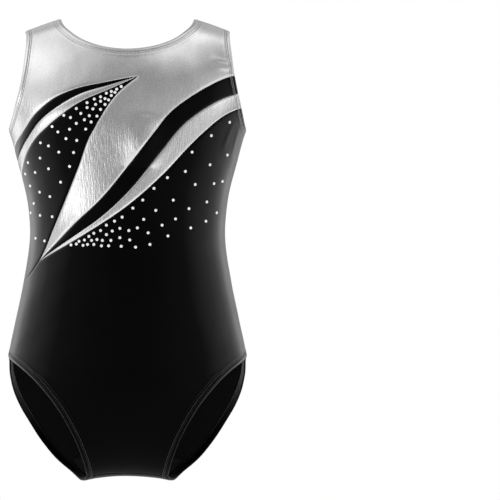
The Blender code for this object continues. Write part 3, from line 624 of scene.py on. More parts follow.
class Panel:
    """One panel of fabric: its outline in the pattern, and its mesh in space."""

    def __init__(self, sheet, stretches, depth=0.0):
        self.sheet, self.depth = sheet, depth
        fine, kinds = blunted(*joined(stretches), TIP_WIDTH)
        outline, self.kinds = stepped(fine, kinds, OUTLINE_STEP)
        gaps = np.where(self.kinds == HEM, FOLD_RADIUS, SEAM_GAP)
        self.outline = inset(outline, gaps)
        self.starts, self.ends = outline, following(outline)
        self.lay_mesh()

    def distance_to(self, kind, points):
        """Distance from points to the panel's seams or to its hems, at their own lines."""
        chosen = self.kinds == kind
        return distances(points, self.starts[chosen], self.ends[chosen])

    def inner_points(self):
        normals = inward_normals(self.outline)
        normals = unit(normals + preceding(normals))
        rows = []
        for kind, offsets, apart in zip((SEAM, HEM), (SEAM_ROWS, HEM_ROWS), ROWS_APART):
            chosen = (self.kinds == kind) | (np.roll(self.kinds, 1) == kind)
            for offset in offsets:
                row = self.outline[chosen] + offset * normals[chosen]
                row = row[inside_outline(row, self.outline)]
                own = self.distance_to(kind, row)
                other = self.distance_to(1 - kind, row)
                rows.append(row[(own > ROW_KEEPS * offset) & (other > apart)])
        rows = np.concatenate(rows)
        low, high = self.outline.min(axis=0), self.outline.max(axis=0)
        heights = np.arange(low[1], high[1], PANEL_MESH * math.sqrt(0.75))
        grid = np.array([(x + 0.5 * PANEL_MESH * (row % 2), y)
                         for row, y in enumerate(heights)
                         for x in np.arange(low[0], high[0], PANEL_MESH)])
        grid = grid[inside_outline(grid, self.outline)]
        free = self.distance_to(SEAM, grid) > SEAM_ROWS[-1] + CLEAR_OF_ROWS
        free &= self.distance_to(HEM, grid) > HEM_ROWS[-1] + CLEAR_OF_ROWS
        return thinned(np.concatenate([rows, grid[free]]), POINTS_APART)

    def relief(self, points, place):
        from_seam = self.distance_to(SEAM, points)
        from_hem = self.distance_to(HEM, points)
        in_hem = 1.0 - smoothstep(*HEM_REACH, from_hem)
        seams = seam_relief(from_seam) * (1.0 - (1.0 - SEAM_IN_HEM) * in_hem)
        hems = np.where(from_hem < FAR_AWAY, hem_relief(from_hem), 0.0)
        return seams + hems + crease_relief(points, self.sheet) + unevenness(place)

    def lay_mesh(self):
        points = np.concatenate([self.outline, self.inner_points()])
        count = len(self.outline)
        edges = [(i, (i + 1) % count) for i in range(count)]
        flat, _, faces, sources, *_ = delaunay_2d_cdt([Vector(p) for p in points], edges, [],
                                                      INSIDE_ONLY, ONE_PLACE)
        flat = np.array([tuple(p) for p in flat])
        made = {source: i for i, group in enumerate(sources) for source in group}
        u, v = flat.T
        place = torso(u, v, self.sheet)
        normal = torso_slopes(u, v, self.sheet)[2]
        height = self.relief(flat, place) - self.depth
        self.points = list(place + height[:, None] * normal)
        self.faces = [face if self.sheet == FRONT else face[::-1] for face in faces]
        self.flat = flat
        run = []
        first = next((i for i in range(count) if self.kinds[i - 1] != self.kinds[i]), 0)
        for i in list(range(first, first + count)) + [first + count]:
            if self.kinds[i % count] == HEM and i < first + count:
                run.append(i % count)
            elif run:
                run.append(i % count)
                self.fold_hem([made[index] for index in run], normal)
                run = []
        self.points = np.array(self.points)

    def fold_hem(self, run, normals):
        """The hem is turned under along a run of outline vertices and lies behind the panel."""
        edge = np.array([self.points[i] for i in run])
        normal = normals[run]
        along = np.gradient(edge, axis=0)
        inwards = unit(-self.sheet * np.cross(normal, along))
        rows = [list(run)]
        for degrees in FOLD_TURNS:
            turn = math.radians(degrees)
            shift = (math.cos(turn) - 1.0) * normal - math.sin(turn) * inwards
            rows.append(self.add_row(edge + FOLD_RADIUS * shift))
        u, v = self.flat[run].T
        sink = np.sum((edge - torso(u, v, self.sheet)) * normal, axis=1)
        for distance in UNDER_ROWS:
            new_u, new_v = moved(u, v, self.sheet, inwards, distance)
            new_normal = torso_slopes(new_u, new_v, self.sheet)[2]
            height = sink * (1.0 - distance / HEM_WIDTH) - 2.0 * FOLD_RADIUS
            place = torso(new_u, new_v, self.sheet) + height[:, None] * new_normal
            rows.append(self.add_row(place))
        for near, far in zip(rows, rows[1:]):
            for i in range(len(run) - 1):
                face = (near[i + 1], near[i], far[i], far[i + 1])
                self.faces.append(face if self.sheet == FRONT else face[::-1])

    def add_row(self, places):
        first = len(self.points)
        self.points.extend(places)
        return list(range(first, first + len(places)))


def thinned(points, apart):
    """The points without those that lie closer than this to an earlier one."""
    cells = {}
    kept = []
    for index, (x, y) in enumerate(points):
        cell = (math.floor(x / apart), math.floor(y / apart))
        near = (cells.get((cell[0] + i, cell[1] + j), ()) for i in (-1, 0, 1) for j in (-1, 0, 1))
        if all(math.dist(points[other], (x, y)) > apart for group in near for other in group):
            cells.setdefault(cell, []).append(index)
            kept.append(index)
    return points[kept]


def add_panel(name, node, sheet, stretches, cloth, depth=0.0):
    """A panel of fabric in the place of a CAD node."""
    thickness, materials, slot = cloth
    panel = Panel(sheet, stretches, depth)
    made = mesh_object(name, panel.points, panel.faces, materials)
    thicken(made, thickness).material_offset = 1
    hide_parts(node)


# ---------------- materials
class Graph:
    """A node tree, and short ways to add to it."""

    def __init__(self, tree):
        self.tree = tree

    def feed(self, node, inputs):
        """Link or set a node's inputs, given by name or by number."""
        for key, value in inputs.items():
            if isinstance(value, bpy.types.NodeSocket):
                self.tree.links.new(value, node.inputs[key])
            else:
                node.inputs[key].default_value = value

    def node(self, kind, inputs=None, **settings):
        made = self.tree.nodes.new("ShaderNode" + kind)
        for setting, value in settings.items():
            setattr(made, setting, value)
        self.feed(made, inputs or {})
        return made

    def calculate(self, operation, first, second):
        return self.node("Math", {0: first, 1: second}, operation=operation).outputs["Value"]


class Look(Graph):
    """A material, and the textures that it is made from."""

    def __init__(self, name):
        self.material = bpy.data.materials.new(name)
        self.material.use_nodes = True
        super().__init__(self.material.node_tree)

    def place(self, scale=(1.0, 1.0, 1.0)):
        """Object coordinates times a scale on each axis."""
        source = self.node("TexCoord").outputs["Object"]
        return self.node("Mapping", {"Vector": source, "Scale": scale}).outputs["Vector"]

    def noise(self, scale, detail=2.0, distortion=0.0):
        inputs = {"Vector": self.place(scale), "Scale": 1.0, "Detail": detail,
                  "Distortion": distortion}
        return self.node("TexNoise", inputs).outputs["Fac"]

    def ramp(self, factor, *stops):
        """A colour ramp from (position, grey or colour) stops."""
        made = self.node("ValToRGB", {"Fac": factor})
        elements = made.color_ramp.elements
        while len(elements) < len(stops):
            elements.new(0.5)
        for element, (position, colour) in zip(elements, stops):
            element.position = position
            element.color = (*colour, 1.0) if hasattr(colour, "__len__") else (colour,) * 3 + (1.0,)
        return made.outputs["Color"]

    def by_height(self, start, end, at_start, at_end):
        """A value that changes smoothly between two heights."""
        height = self.node("SeparateXYZ", {"Vector": self.place()}).outputs["Z"]
        inputs = {"Value": height, "From Min": start, "From Max": end, "To Min": at_start,
                  "To Max": at_end}
        return self.node("MapRange", inputs, interpolation_type="SMOOTHSTEP").outputs["Result"]

    def multiply(self, first, second):
        inputs = {"Factor": 1.0, "A": first, "B": second}
        return self.node("Mix", inputs, data_type="RGBA", blend_type="MULTIPLY").outputs["Result"]

    def bump(self, height, distance, strength, under=None):
        inputs = {"Height": height, "Distance": distance, "Strength": strength}
        if under:
            inputs["Normal"] = under
        return self.node("Bump", inputs).outputs["Normal"]

    def shade(self, inputs):
        """Feed the shader, and give the finished material."""
        self.feed(self.tree.nodes["Principled BSDF"], inputs)
        return self.material


# Painted sheen in the velvet's base colour: how light it is painted, from seen square on (0) to
# seen edge on (1).
VELVET_PAINTED_SHEEN = ((0.0, 0.0011), (0.10, 0.0045), (0.25, 0.036), (0.36, 0.074), (0.46, 0.145),
                (0.60, 0.325), (0.75, 0.350), (1.0, 0.350))
SHEEN_TILT_SCALE = (1.0, 1.0, 0.35)  # shrinks the up-down part of the normal that the painted sheen reads, so a slope up or down lightens it less
# Painted shade: towards the crotch the painted sheen is darkened. Two heights, and the share of the
# painted sheen at each.
PAINTED_SHADE_LOW = (-0.370, -0.485, 1.0, 0.20)


def velvet_material():
    """Black stretch velvet: a dark pile, with a painted sheen in its base colour that is lighter
    where it is seen edge on, and painted shade towards the crotch.
    """
    look = Look("black_velvet")
    pile = look.noise((1500.0, 1500.0, 900.0), 3.0)
    nap = look.noise((26.0, 26.0, 13.0), 3.0, 0.6)
    normal = look.node("NewGeometry").outputs["Normal"]
    sideways = look.node("VectorMath", {0: normal, 1: SHEEN_TILT_SCALE}, operation="MULTIPLY")
    sheen_normal = look.node("VectorMath", {0: sideways.outputs["Vector"]}, operation="NORMALIZE")
    edge_on = look.node("LayerWeight", {"Blend": 0.5, "Normal": sheen_normal.outputs["Vector"]})
    # Painted sheen: the base colour is lighter where the surface is seen edge on, times the pile's
    # uneven tone.
    sheen = look.ramp(edge_on.outputs["Facing"], *VELVET_PAINTED_SHEEN)
    uneven_painted_sheen = look.multiply(sheen, look.ramp(nap, (0.3, 0.75), (0.7, 1.0)))
    return look.shade({
        # Painted shade: the painted sheen fades towards the crotch.
        "Base Color": look.multiply(uneven_painted_sheen, look.by_height(*PAINTED_SHADE_LOW)),
        "Roughness": look.ramp(pile, (0.3, 0.50), (0.7, 0.64)),
        "Specular IOR Level": 0.045,
        "Sheen Weight": 0.04,
        "Sheen Roughness": 0.30,
        "Normal": look.bump(pile, 0.0003, 0.5, look.bump(nap, 0.004, 0.25)),
    })


def knit_material(name, dark, light):
    """The matte wrong side of a knitted fabric, with its fine ribs."""
    look = Look(name)
    inputs = {"Vector": look.place((300.0, 300.0, 60.0)), "Scale": 1.0, "Distortion": 2.0,
              "Detail": 2.0}
    ribs = look.node("TexWave", inputs, wave_type="BANDS", bands_direction="X").outputs["Fac"]
    return look.shade({
        "Base Color": look.ramp(ribs, (0.2, dark), (0.8, light)),
        "Roughness": 0.9,
        "Specular IOR Level": 0.15,
        "Normal": look.bump(ribs, 0.0003, 0.6),
    })


# The foil's crinkles and grain are deeper below the chest, where the fabric is stretched least:
# two heights, and the strength of the bumps at each.
CRINKLES_DEEPEN = (-0.060, -0.135, 0.10, 0.75)
GRAIN_DEEPENS = (-0.030, -0.090, 0.08, 0.30)


def foil_material():
    """Silver foil on stretch fabric: a soft metallic shine, finely crinkled along the grain."""
    look = Look("silver_foil")
    crinkle = look.noise((640.0, 640.0, 85.0))
    grain = look.noise((1100.0, 1100.0, 1000.0))
    patches = look.noise((30.0, 30.0, 17.0))
    crinkled = look.bump(crinkle, 0.0005, look.by_height(*CRINKLES_DEEPEN),
                         look.bump(patches, 0.004, 0.18))
    return look.shade({
        "Base Color": look.ramp(patches, (0.30, (0.80, 0.80, 0.81)), (0.70, (0.92, 0.92, 0.93))),
        "Metallic": 0.95,
        "Roughness": look.ramp(crinkle, (0.3, 0.21), (0.7, 0.29)),
        "Normal": look.bump(grain, 0.00025, look.by_height(*GRAIN_DEEPENS), crinkled),
    })


def thread_material(name, colour):
    """Twisted polyester thread."""
    look = Look(name)
    fibres = look.noise((2600.0, 2600.0, 2600.0))
    dark = tuple(0.7 * value for value in colour)
    return look.shade({
        "Base Color": look.ramp(fibres, (0.35, dark), (0.65, colour)),
        "Roughness": 0.55,
        "Sheen Weight": 0.2,
        "Normal": look.bump(fibres, 0.0001, 0.5),
    })


def crystal_material():
    """Clear foil-backed crystal, with a painted glow from its emission that stands in for its
    sparkle.
    """
    look = Look("clear_crystal")
    sparkle = look.noise((900.0, 900.0, 900.0), 1.0)
    return look.shade({
        "Base Color": look.ramp(sparkle, (0.3, (0.84, 0.86, 0.88)), (0.7, (0.95, 0.96, 0.98))),
        "Metallic": 0.35,
        "Roughness": 0.08,
        "Coat Weight": 1.0,
        "Coat Roughness": 0.03,
        # Painted glow: the emission stands in for the stones' sparkle.
        "Emission Color": (1.0, 1.0, 1.0, 1.0),
        "Emission Strength": 0.32,
    })


def floor_material():
    """A white studio floor, lit from below like a light table."""
    look = Look("pale_floor")
    grain = look.noise((4.0, 4.0, 4.0))
    return look.shade({
        "Base Color": look.ramp(grain, (0.3, (0.90, 0.90, 0.90)), (0.7, (0.93, 0.93, 0.93))),
        "Roughness": 0.9,
        "Specular IOR Level": 0.1,
        "Emission Color": (1.0, 1.0, 1.0, 1.0),
        "Emission Strength": 0.38,
    })


VELVET_FACE = velvet_material()
VELVET_BACK = knit_material("velvet_wrong_side", (0.005, 0.005, 0.0055), (0.010, 0.010, 0.011))
FOIL_FACE = foil_material()
FOIL_BACK = knit_material("foil_wrong_side", (0.66, 0.66, 0.67), (0.80, 0.80, 0.81))
LINING_FABRIC = knit_material("black_lining", (0.010, 0.010, 0.010), (0.022, 0.022, 0.022))
ELASTIC_BRAID = knit_material("white_elastic", (0.62, 0.62, 0.60), (0.80, 0.80, 0.78))
GREY_THREAD = thread_material("grey_thread", (0.60, 0.60, 0.61))
DARK_THREAD = thread_material("dark_grey_thread", (0.060, 0.060, 0.062))
BLACK_THREAD = thread_material("black_thread", (0.030, 0.030, 0.031))
CRYSTAL = crystal_material()

# Each fabric's thickness, its two sides and its slot.
VELVET_CLOTH = (VELVET, (VELVET_FACE, VELVET_BACK), "velvet")
FOIL_CLOTH = (FOIL, (FOIL_FACE, FOIL_BACK), "foil")
LINING_CLOTH = (LINING, (LINING_FABRIC, LINING_FABRIC), "lining")


# ---------------- the panels
def add_front_panels():
    right_side, left_side = SIDE_SEAM[RIGHT], SIDE_SEAM[LEFT]
    left_armhole = FRONT_ARMHOLE[LEFT]
    add_panel("foil_front_yoke", "front_yoke_foil", FRONT, [
        hem(FRONT_NECK),
        SHOULDER_SEAM[LEFT],
        hem(piece(left_armhole, left_armhole[0], SWEEP_TOP[0])),
        SWEEP_TOP,
        piece(SIDE_PANEL_SEAM, SWEEP_TIP, CRESCENT_TIP),
        FRONT_BLACK_TOP,
        piece(right_side, BLACK_TOP_SIDE, right_side[0]),
        hem(FRONT_ARMHOLE[RIGHT][::-1]),
        SHOULDER_SEAM[RIGHT][::-1],
    ], FOIL_CLOTH)
    add_panel("velvet_front_crescent", "front_right_black_crescent", FRONT, [
        FRONT_BLACK_TOP,
        piece(right_side, BLACK_TOP_SIDE, BLACK_SILVER_SIDE),
        FRONT_BLACK_SILVER[::-1],
    ], VELVET_CLOTH)
    add_panel("foil_front_crescent", "front_right_silver_crescent", FRONT, [
        FRONT_BLACK_SILVER,
        piece(right_side, BLACK_SILVER_SIDE, SILVER_LOW_SIDE),
        FRONT_SILVER_LOW[::-1],
    ], FOIL_CLOTH)
    add_panel("velvet_side_panel", "front_right_side_panel", FRONT, [
        FRONT_SILVER_LOW,
        piece(right_side, SILVER_LOW_SIDE, SIDE_PANEL_LOW),
        SIDE_PANEL_SEAM[::-1],
    ], VELVET_CLOTH)
    add_panel("velvet_front_sweep", "front_left_black_sweep", FRONT, [
        SWEEP_TOP,
        SWEEP_MIDDLE[::-1],
        hem(piece(left_armhole, SWEEP_MIDDLE[0], SWEEP_TOP[0])),
    ], VELVET_CLOTH)
    add_panel("foil_front_sweep", "front_left_silver_sweep", FRONT, [
        SWEEP_MIDDLE,
        SWEEP_LOW[::-1],
        hem(piece(left_armhole, SWEEP_LOW[0], SWEEP_MIDDLE[0])),
    ], FOIL_CLOTH)
    add_panel("velvet_front_body", "front_body", FRONT, [
        SWEEP_LOW,
        piece(SIDE_PANEL_SEAM, SWEEP_TIP, SIDE_PANEL_LOW),
        piece(right_side, SIDE_PANEL_LOW, right_side[-1]),
        hem(FRONT_LEG[RIGHT]),
        FRONT_CROTCH[::-1],
        hem(FRONT_LEG[LEFT][::-1]),
        left_side[::-1],
        hem(piece(left_armhole, left_armhole[-1], SWEEP_LOW[0])),
    ], VELVET_CLOTH)


def add_back_panels():
    right_side, left_side = SIDE_SEAM[RIGHT], SIDE_SEAM[LEFT]
    left_armhole = BACK_ARMHOLE[LEFT]
    add_panel("foil_back_yoke", "back_yoke_foil", BACK, [
        hem(BACK_NECK),
        SHOULDER_SEAM[LEFT],
        hem(piece(left_armhole, left_armhole[0], YOKE_SEAM[0])),
        YOKE_SEAM,
        piece(BACK_SILVER_TOP, SILVER_BACK_TIP, BLACK_BACK_TIP),
        BACK_BLACK_TOP,
        piece(right_side, BLACK_TOP_SIDE, right_side[0]),
        hem(BACK_ARMHOLE[RIGHT][::-1]),
        SHOULDER_SEAM[RIGHT][::-1],
    ], FOIL_CLOTH)
    add_panel("velvet_back_crescent", "back_black_crescent", BACK, [
        BACK_BLACK_TOP,
        piece(right_side, BLACK_TOP_SIDE, BLACK_SILVER_SIDE),
        piece(BACK_SILVER_TOP, BLACK_SILVER_SIDE, BLACK_BACK_TIP),
    ], VELVET_CLOTH)
    add_panel("foil_back_crescent", "back_silver_crescent", BACK, [
        BACK_SILVER_TOP,
        piece(right_side, BLACK_SILVER_SIDE, SILVER_LOW_SIDE),
        BACK_SILVER_LOW[::-1],
    ], FOIL_CLOTH)
    add_panel("velvet_back_body", "back_body", BACK, [
        YOKE_SEAM,
        BACK_SILVER_LOW,
        piece(right_side, SILVER_LOW_SIDE, right_side[-1]),
        hem(BACK_LEG[RIGHT]),
        BACK_CROTCH[::-1],
        hem(BACK_LEG[LEFT][::-1]),
        left_side[::-1],
        hem(piece(left_armhole, left_armhole[-1], YOKE_SEAM[0])),
    ], VELVET_CLOTH)


# The lining's left edge: half its width, and how many degrees under the seat line.
LINING_EDGE = ((0.0600, 55.0), (0.0500, 70.0), (0.0405, 88.0), (0.0360, 105.0), (0.0400, 132.0))


def add_crotch_lining():
    """The lining spans the crotch seam. It is drawn on the back sheet and goes on to the front."""
    left = smooth_curve([under_seat(x, math.radians(turn)) for x, turn in LINING_EDGE])
    right = left * (-1, 1)
    back_end = resample(np.array([right[0], left[0]]), FINE_STEP)
    front_end = resample(np.array([left[-1], right[-1]]), FINE_STEP)
    add_panel("knit_crotch_lining", "crotch_lining", BACK,
              [left, front_end, right[::-1], back_end], LINING_CLOTH, LINING_DEPTH)


# ---------------- hems: elastic and stitches
def openings():
    """Each opening's name and its edge, as (curve, sheet) stretches that follow each other."""
    rims = {"neck": [(FRONT_NECK, FRONT), (BACK_NECK[::-1], BACK)]}
    for word, hand in (("left", LEFT), ("right", RIGHT)):
        rims[word + "_armhole"] = [(FRONT_ARMHOLE[hand], FRONT), (BACK_ARMHOLE[hand][::-1], BACK)]
        rims[word + "_leg"] = [(FRONT_LEG[hand], FRONT), (BACK_LEG[hand][::-1], BACK)]
    return rims


def rim_line(stretches, distance, height, step):
    """A closed line at a distance into the fabric from an opening's edge, and the surface's
    normals along it."""
    stations = [(*point, sheet) for curve, sheet in stretches
                for point in resample(curve, step)[:-1]]
    u, v, sheet = np.array(stations).T
    edge = torso(u, v, sheet)
    normal = torso_slopes(u, v, sheet)[2]
    inwards = unit(np.cross(normal, following(edge) - preceding(edge)))
    if np.sum(inwards * (edge - edge.mean(axis=0))) < 0.0:
        inwards = -inwards
    u, v = moved(u, v, sheet, inwards, distance)
    normal = torso_slopes(u, v, sheet)[2]
    place = torso(u, v, sheet)
    return place + (height + unevenness(place))[:, None] * normal, normal


def tube_rings(centres, directions, radius, sides):
    """Rings of points round a line, one after another."""
    leaning = np.array([0.31, 0.27, 0.91])  # a direction that no stitch runs in
    first = unit(np.cross(directions, leaning))
    second = np.cross(directions, first)
    angles = np.arange(sides) * 2 * math.pi / sides
    return (centres[:, None, :] + radius * (np.cos(angles)[None, :, None] * first[:, None, :]
                                            + np.sin(angles)[None, :, None] * second[:, None, :]))


def tube_faces(rings, sides, start=0):
    """The faces between rings of points, with a cap at each end."""
    faces = []
    for ring in range(rings - 1):
        low = start + ring * sides
        high = low + sides
        for side in range(sides):
            other = (side + 1) % sides
            faces.append((low + side, low + other, high + other, high + side))
    last = start + (rings - 1) * sides
    faces.append(tuple(start + side for side in reversed(range(sides))))
    faces.append(tuple(last + side for side in range(sides)))
    return faces


def add_coverstitch(name, stretches):
    """Two rows of separate stitches round an opening, each dipping into the fabric at its ends."""
    points, faces = [], []
    share, lift = np.array(STITCH_ARCH).T[:, :, None]
    height = HEM_RISE - STITCH_SINK + STITCH_RADIUS
    for inset_by in STITCH_INSET:
        line, normals = rim_line(stretches, inset_by, height, STITCH_LENGTH)
        for start, end, low, high in zip(line, following(line), normals, following(normals)):
            centres = start + share * (end - start) + lift * (low + share * (high - low))
            directions = unit(np.gradient(centres, axis=0))
            faces += tube_faces(len(centres), STITCH_SIDES, len(points) * STITCH_SIDES)
            points.extend(tube_rings(centres, directions, STITCH_RADIUS, STITCH_SIDES))
    thread = DARK_THREAD if name.endswith("leg") else GREY_THREAD
    made = mesh_object(name + "_stitches", np.concatenate(points), faces, [thread])
    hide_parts(name + "_coverstitch")


def add_elastic(name, stretches):
    """The elastic inside a folded hem."""
    near, normals = rim_line(stretches, ELASTIC_ROWS[0], -ELASTIC_DEPTH, OUTLINE_STEP)
    far, _ = rim_line(stretches, ELASTIC_ROWS[1], -ELASTIC_DEPTH, OUTLINE_STEP)
    count = len(near)
    faces = [(i, (i + 1) % count, count + (i + 1) % count, count + i) for i in range(count)]
    across = np.cross(near[1] - near[0], far[0] - near[0])
    if np.dot(across, normals[0]) < 0.0:
        faces = [face[::-1] for face in faces]
    made = mesh_object(name + "_elastic_band", np.concatenate([near, far]), faces,
                       [ELASTIC_BRAID])
    thicken(made, ELASTIC_THICK)
    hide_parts(name + "_elastic")


# ---------------- overlocked edges inside
def add_overlock(name, sheet, curve, start_trim, end_trim):
    """The sewn-together edges behind a seam: a flat fin wrapped by the loops of thread."""
    line = resample(trimmed(curve, start_trim, end_trim), OVERLOCK_STEP)
    normal = torso_slopes(*line.T, sheet)[2]
    centres = torso(*line.T, sheet) - OVERLOCK_DEPTH * normal
    across = np.cross(normal, unit(np.gradient(centres, axis=0)))
    travel = lengths_along(centres)
    end = np.minimum(1.0, np.minimum(travel, travel[-1] - travel) / FIN_TAPER + FIN_END)
    rings = []
    for side in range(OVERLOCK_SIDES):
        angle = 2 * math.pi * side / OVERLOCK_SIDES
        loops = np.sin(2 * math.pi * travel / LOOP_PITCH + LOOP_SLANT * angle)
        wide = (FIN_HALF_WIDTH * end * math.cos(angle))[:, None] * across
        thick = FIN_HALF_THICK * (1.0 + LOOP_RISE * loops) * end * math.sin(angle)
        rings.append(centres + wide + thick[:, None] * normal)
    points = np.stack(rings, axis=1).reshape(-1, 3)
    made = mesh_object(name + "_edges", points, tube_faces(len(centres), OVERLOCK_SIDES),
                       [BLACK_THREAD])
    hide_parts(name + "_overlock")


def add_overlocks():
    for word, hand in (("left", LEFT), ("right", RIGHT)):
        for part, curve in (("_side", SIDE_SEAM[hand]), ("_shoulder", SHOULDER_SEAM[hand])):
            add_overlock(word + part, FRONT, curve, OVERLOCK_TO_HEM, OVERLOCK_TO_HEM)
    whole_yoke_seam = np.concatenate([YOKE_SEAM, BACK_SILVER_LOW[1:]])
    # Each seam's name, sheet and curve, and the lengths left bare at its start and its end. More
    # is left bare at a tip, where there is no room between the seams.
    seams = (
        ("crotch", FRONT, FRONT_CROTCH, OVERLOCK_TO_HEM, OVERLOCK_TO_HEM),
        ("black_crescent", FRONT, FRONT_BLACK_TOP, 0.006, OVERLOCK_TO_SEAM),
        ("silver_crescent", FRONT, FRONT_BLACK_SILVER, 0.055, OVERLOCK_TO_SEAM),
        ("side_panel_top", FRONT, FRONT_SILVER_LOW, 0.030, OVERLOCK_TO_SEAM),
        ("side_panel", FRONT, SIDE_PANEL_SEAM, 0.020, OVERLOCK_TO_SEAM),
        ("black_sweep", FRONT, SWEEP_TOP, OVERLOCK_TO_HEM, 0.022),
        ("silver_sweep", FRONT, SWEEP_MIDDLE, OVERLOCK_TO_HEM, 0.055),
        ("body_sweep", FRONT, SWEEP_LOW, OVERLOCK_TO_HEM, 0.024),
        ("yoke", BACK, whole_yoke_seam, OVERLOCK_TO_HEM, OVERLOCK_TO_SEAM),
        ("back_silver_crescent", BACK, BACK_SILVER_TOP, 0.045, OVERLOCK_TO_SEAM),
        ("back_black_crescent", BACK, BACK_BLACK_TOP, 0.040, OVERLOCK_TO_SEAM),
    )
    for seam_row in seams:
        add_overlock(*seam_row)


# ---------------- rhinestones
STONE_RADIUS = 0.00170
STONE_SIDES = 10
STONE_SPIN = 0.7        # no two stones lie with their facets the same way
# Rings of a stone from its foot to its table: share of its radius, height, turn in half facets.
STONE_RINGS = ((0.97, -0.0003, 0), (1.0, 0.0003, 0), (0.80, 0.0009, 1), (0.52, 0.0013, 0))
# Each stone's place as it is seen from the front, in millimetres, in rows that run outwards from
# the crescents' tip and from the sweep's tip.
SIDE_PANEL_STONES = (
    (-7, -76.5), (-12, -79.5), (-18, -82), (-23.5, -84), (-30, -88), (-37, -90.5), (-45, -94.5),
    (-57, -101), (-71, -108.5), (-84, -121), (-97, -139), (-111, -161), (-114, -173.5),
    (-14, -83), (-18, -86.5), (-25, -90), (-30, -93), (-35.5, -96.5), (-45, -100), (-52, -106.5),
    (-63.5, -111), (-77.5, -127), (-88, -142.5), (-97.5, -156), (-103, -172), (-108.5, -187),
    (-21, -91.5), (-25, -96.5), (-30, -102), (-38.5, -101.5), (-42.5, -109), (-48, -113.5),
    (-57, -117.5), (-64.5, -124), (-68.5, -134.5), (-76.5, -149.5), (-88, -168), (-98, -194),
    (-104.5, -206.5), (-108, -217), (-34, -109.5), (-40.5, -116), (-46.5, -124), (-56.5, -136.5),
    (-60, -150), (-64.5, -165.5), (-74.5, -183), (-86.5, -199), (-97.5, -220), (-84, -221.5),
    (-102.5, -245.5), (-92.5, -248.5),
)
BODY_STONES = (
    (-63, -253), (-57, -252), (-54, -249), (-48, -247.5), (-43, -243.5), (-37.5, -240),
    (-30, -237), (-23.5, -231), (-14.5, -226.5), (-6, -222), (6, -212), (17, -203),
    (29.5, -190), (44.5, -178), (72, -149.5), (93.5, -131), (114, -116), (-49.5, -253.5),
    (-40, -248), (-34, -247), (-23.5, -241.5), (-17, -237.5), (-8.5, -234.5), (1.5, -237),
    (11, -234), (18, -224.5), (31.5, -214.5), (51, -203), (64.5, -171), (92, -163.5),
    (111.5, -152.5), (-44.5, -252.5), (-28, -248), (-18.5, -248), (-8.5, -245), (2.5, -247.5),
    (23, -239.5), (38.5, -231), (53.5, -224), (68.5, -212.5), (75.5, -185.5), (96.5, -184.5),
    (106, -182), (-37.5, -252.5), (-29, -254), (-21, -254), (-7, -254.5), (9, -255.5),
    (25, -252.5), (45, -243), (70.5, -234), (87.5, -226.5), (88.5, -205), (99.5, -217),
)


def add_stones(name, places):
    """Faceted flat-backed stones on the front of the garment, one at each place."""
    points, faces = [], []
    angles = np.arange(STONE_SIDES) * 2 * math.pi / STONE_SIDES
    for x, z in places:
        u, v = seen(0.001 * x, 0.001 * z)
        along_u, _, normal = torso_slopes(u, v, FRONT)
        foot = torso(u, v, FRONT)
        side = along_u / np.linalg.norm(along_u)
        up = np.cross(normal, side)
        first = len(points)
        spin = STONE_SPIN * len(points)
        for share, height, turn in STONE_RINGS:
            for angle in angles + spin + turn * math.pi / STONE_SIDES:
                reach = share * STONE_RADIUS
                points.append(foot + height * normal
                              + reach * (math.cos(angle) * side + math.sin(angle) * up))
        rings = [range(first + i * STONE_SIDES, first + (i + 1) * STONE_SIDES)
                 for i in range(len(STONE_RINGS))]
        for (low, high), (_, _, low_turn), (_, _, high_turn) in zip(
                zip(rings, rings[1:]), STONE_RINGS, STONE_RINGS[1:]):
            for i in range(STONE_SIDES):
                j = (i + 1) % STONE_SIDES
                if low_turn == high_turn:
                    faces.append((low[i], low[j], high[j], high[i]))
                elif high_turn:
                    faces += [(low[i], low[j], high[i]), (low[j], high[j], high[i])]
                else:
                    faces += [(low[i], low[j], high[j]), (low[i], high[j], high[i])]
        faces.append(tuple(rings[-1]))
        faces.append(tuple(reversed(rings[0])))
    mesh_object(name, points, faces, [CRYSTAL], smooth=False)


# ---------------- stage
FLOOR_SIZE = 2.8
FLOOR_BELOW = 0.12      # from the garment's lowest point to the floor


def add_floor():
    place = (0.0, 0.0, CAD_BOX[0][2] - FLOOR_BELOW)
    bpy.ops.mesh.primitive_plane_add(size=FLOOR_SIZE, location=place)
    floor = bpy.context.object
    floor.name = "floor"
    floor.data.materials.append(floor_material())


# The studio's soft lights: (degrees round from straight in front towards the garment's left,
# degrees up, how narrow, how strong).
LIGHTS = (
    (-50, -23, 20.0, 3.20),
    (-75, 40, 5.0, 1.15),
    (-120, -25, 7.0, 1.20),
    (62, 6, 17.0, 0.98),
    (96, 70, 40.0, 1.05),
    (18, 1, 5.0, 0.27),
    (-155, 26, 9.0, 0.49),
    (35, 59, 25.0, 0.86),
    (-129, 69, 45.0, 0.62),
    (123, 23, 4.0, 0.67),
)
AMBIENT = 0.12


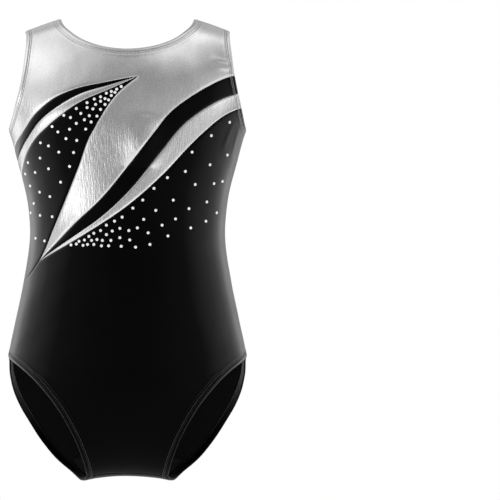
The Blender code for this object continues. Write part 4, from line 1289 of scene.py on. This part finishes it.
def add_world():
    """A white studio with soft lights. The camera itself sees plain white."""
    world = bpy.data.worlds.new("studio")
    bpy.context.scene.world = world
    world.use_nodes = True
    world.node_tree.nodes.clear()
    graph = Graph(world.node_tree)
    looking = graph.node("TexCoord").outputs["Generated"]
    light = AMBIENT
    for around, above, narrow, strong in LIGHTS:
        around, above = math.radians(around), math.radians(above)
        direction = (math.sin(around) * math.cos(above), -math.cos(around) * math.cos(above),
                     math.sin(above))
        towards = graph.node("VectorMath", {0: looking, 1: direction}, operation="DOT_PRODUCT")
        lobe = graph.calculate("MAXIMUM", towards.outputs["Value"], 0.0)
        lobe = graph.calculate("MULTIPLY", graph.calculate("POWER", lobe, narrow), strong)
        light = graph.calculate("ADD", lobe, light)
    white = (1.0, 1.0, 1.0, 1.0)
    studio = graph.node("Background", {"Color": white, "Strength": light})
    plain = graph.node("Background", {"Color": white, "Strength": 1.0})
    seen_by_camera = graph.node("LightPath").outputs["Is Camera Ray"]
    mix = graph.node("MixShader", {"Fac": seen_by_camera, 1: studio.outputs["Background"],
                                   2: plain.outputs["Background"]})
    graph.node("OutputWorld", {"Surface": mix.outputs["Shader"]})


def add_camera():
    """Straight in front of the garment and far away, turned so that it stands in the left half."""
    lens, sensor = 1000.0, 36.0
    view_width = 0.560
    away = view_width * lens / sensor
    middle = -0.2587    # the height that it looks at
    beside = 0.1372     # how far to the garment's left it looks
    data = bpy.data.cameras.new("camera")
    data.lens, data.sensor_width = lens, sensor
    camera = bpy.data.objects.new("camera", data)
    bpy.context.scene.collection.objects.link(camera)
    camera.location = (0.0, -away, middle)
    camera.rotation_euler = (math.pi / 2, 0.0, -math.atan2(beside, away))
    bpy.context.scene.camera = camera


add_front_panels()
add_back_panels()
add_crotch_lining()
for opening, rim in openings().items():
    add_elastic(opening, rim)
    add_coverstitch(opening, rim)
add_overlocks()
add_stones("side_panel_rhinestones", SIDE_PANEL_STONES)
add_stones("body_rhinestones", BODY_STONES)
add_floor()
add_world()
add_camera()
bpy.context.scene.view_settings.view_transform = "Standard"
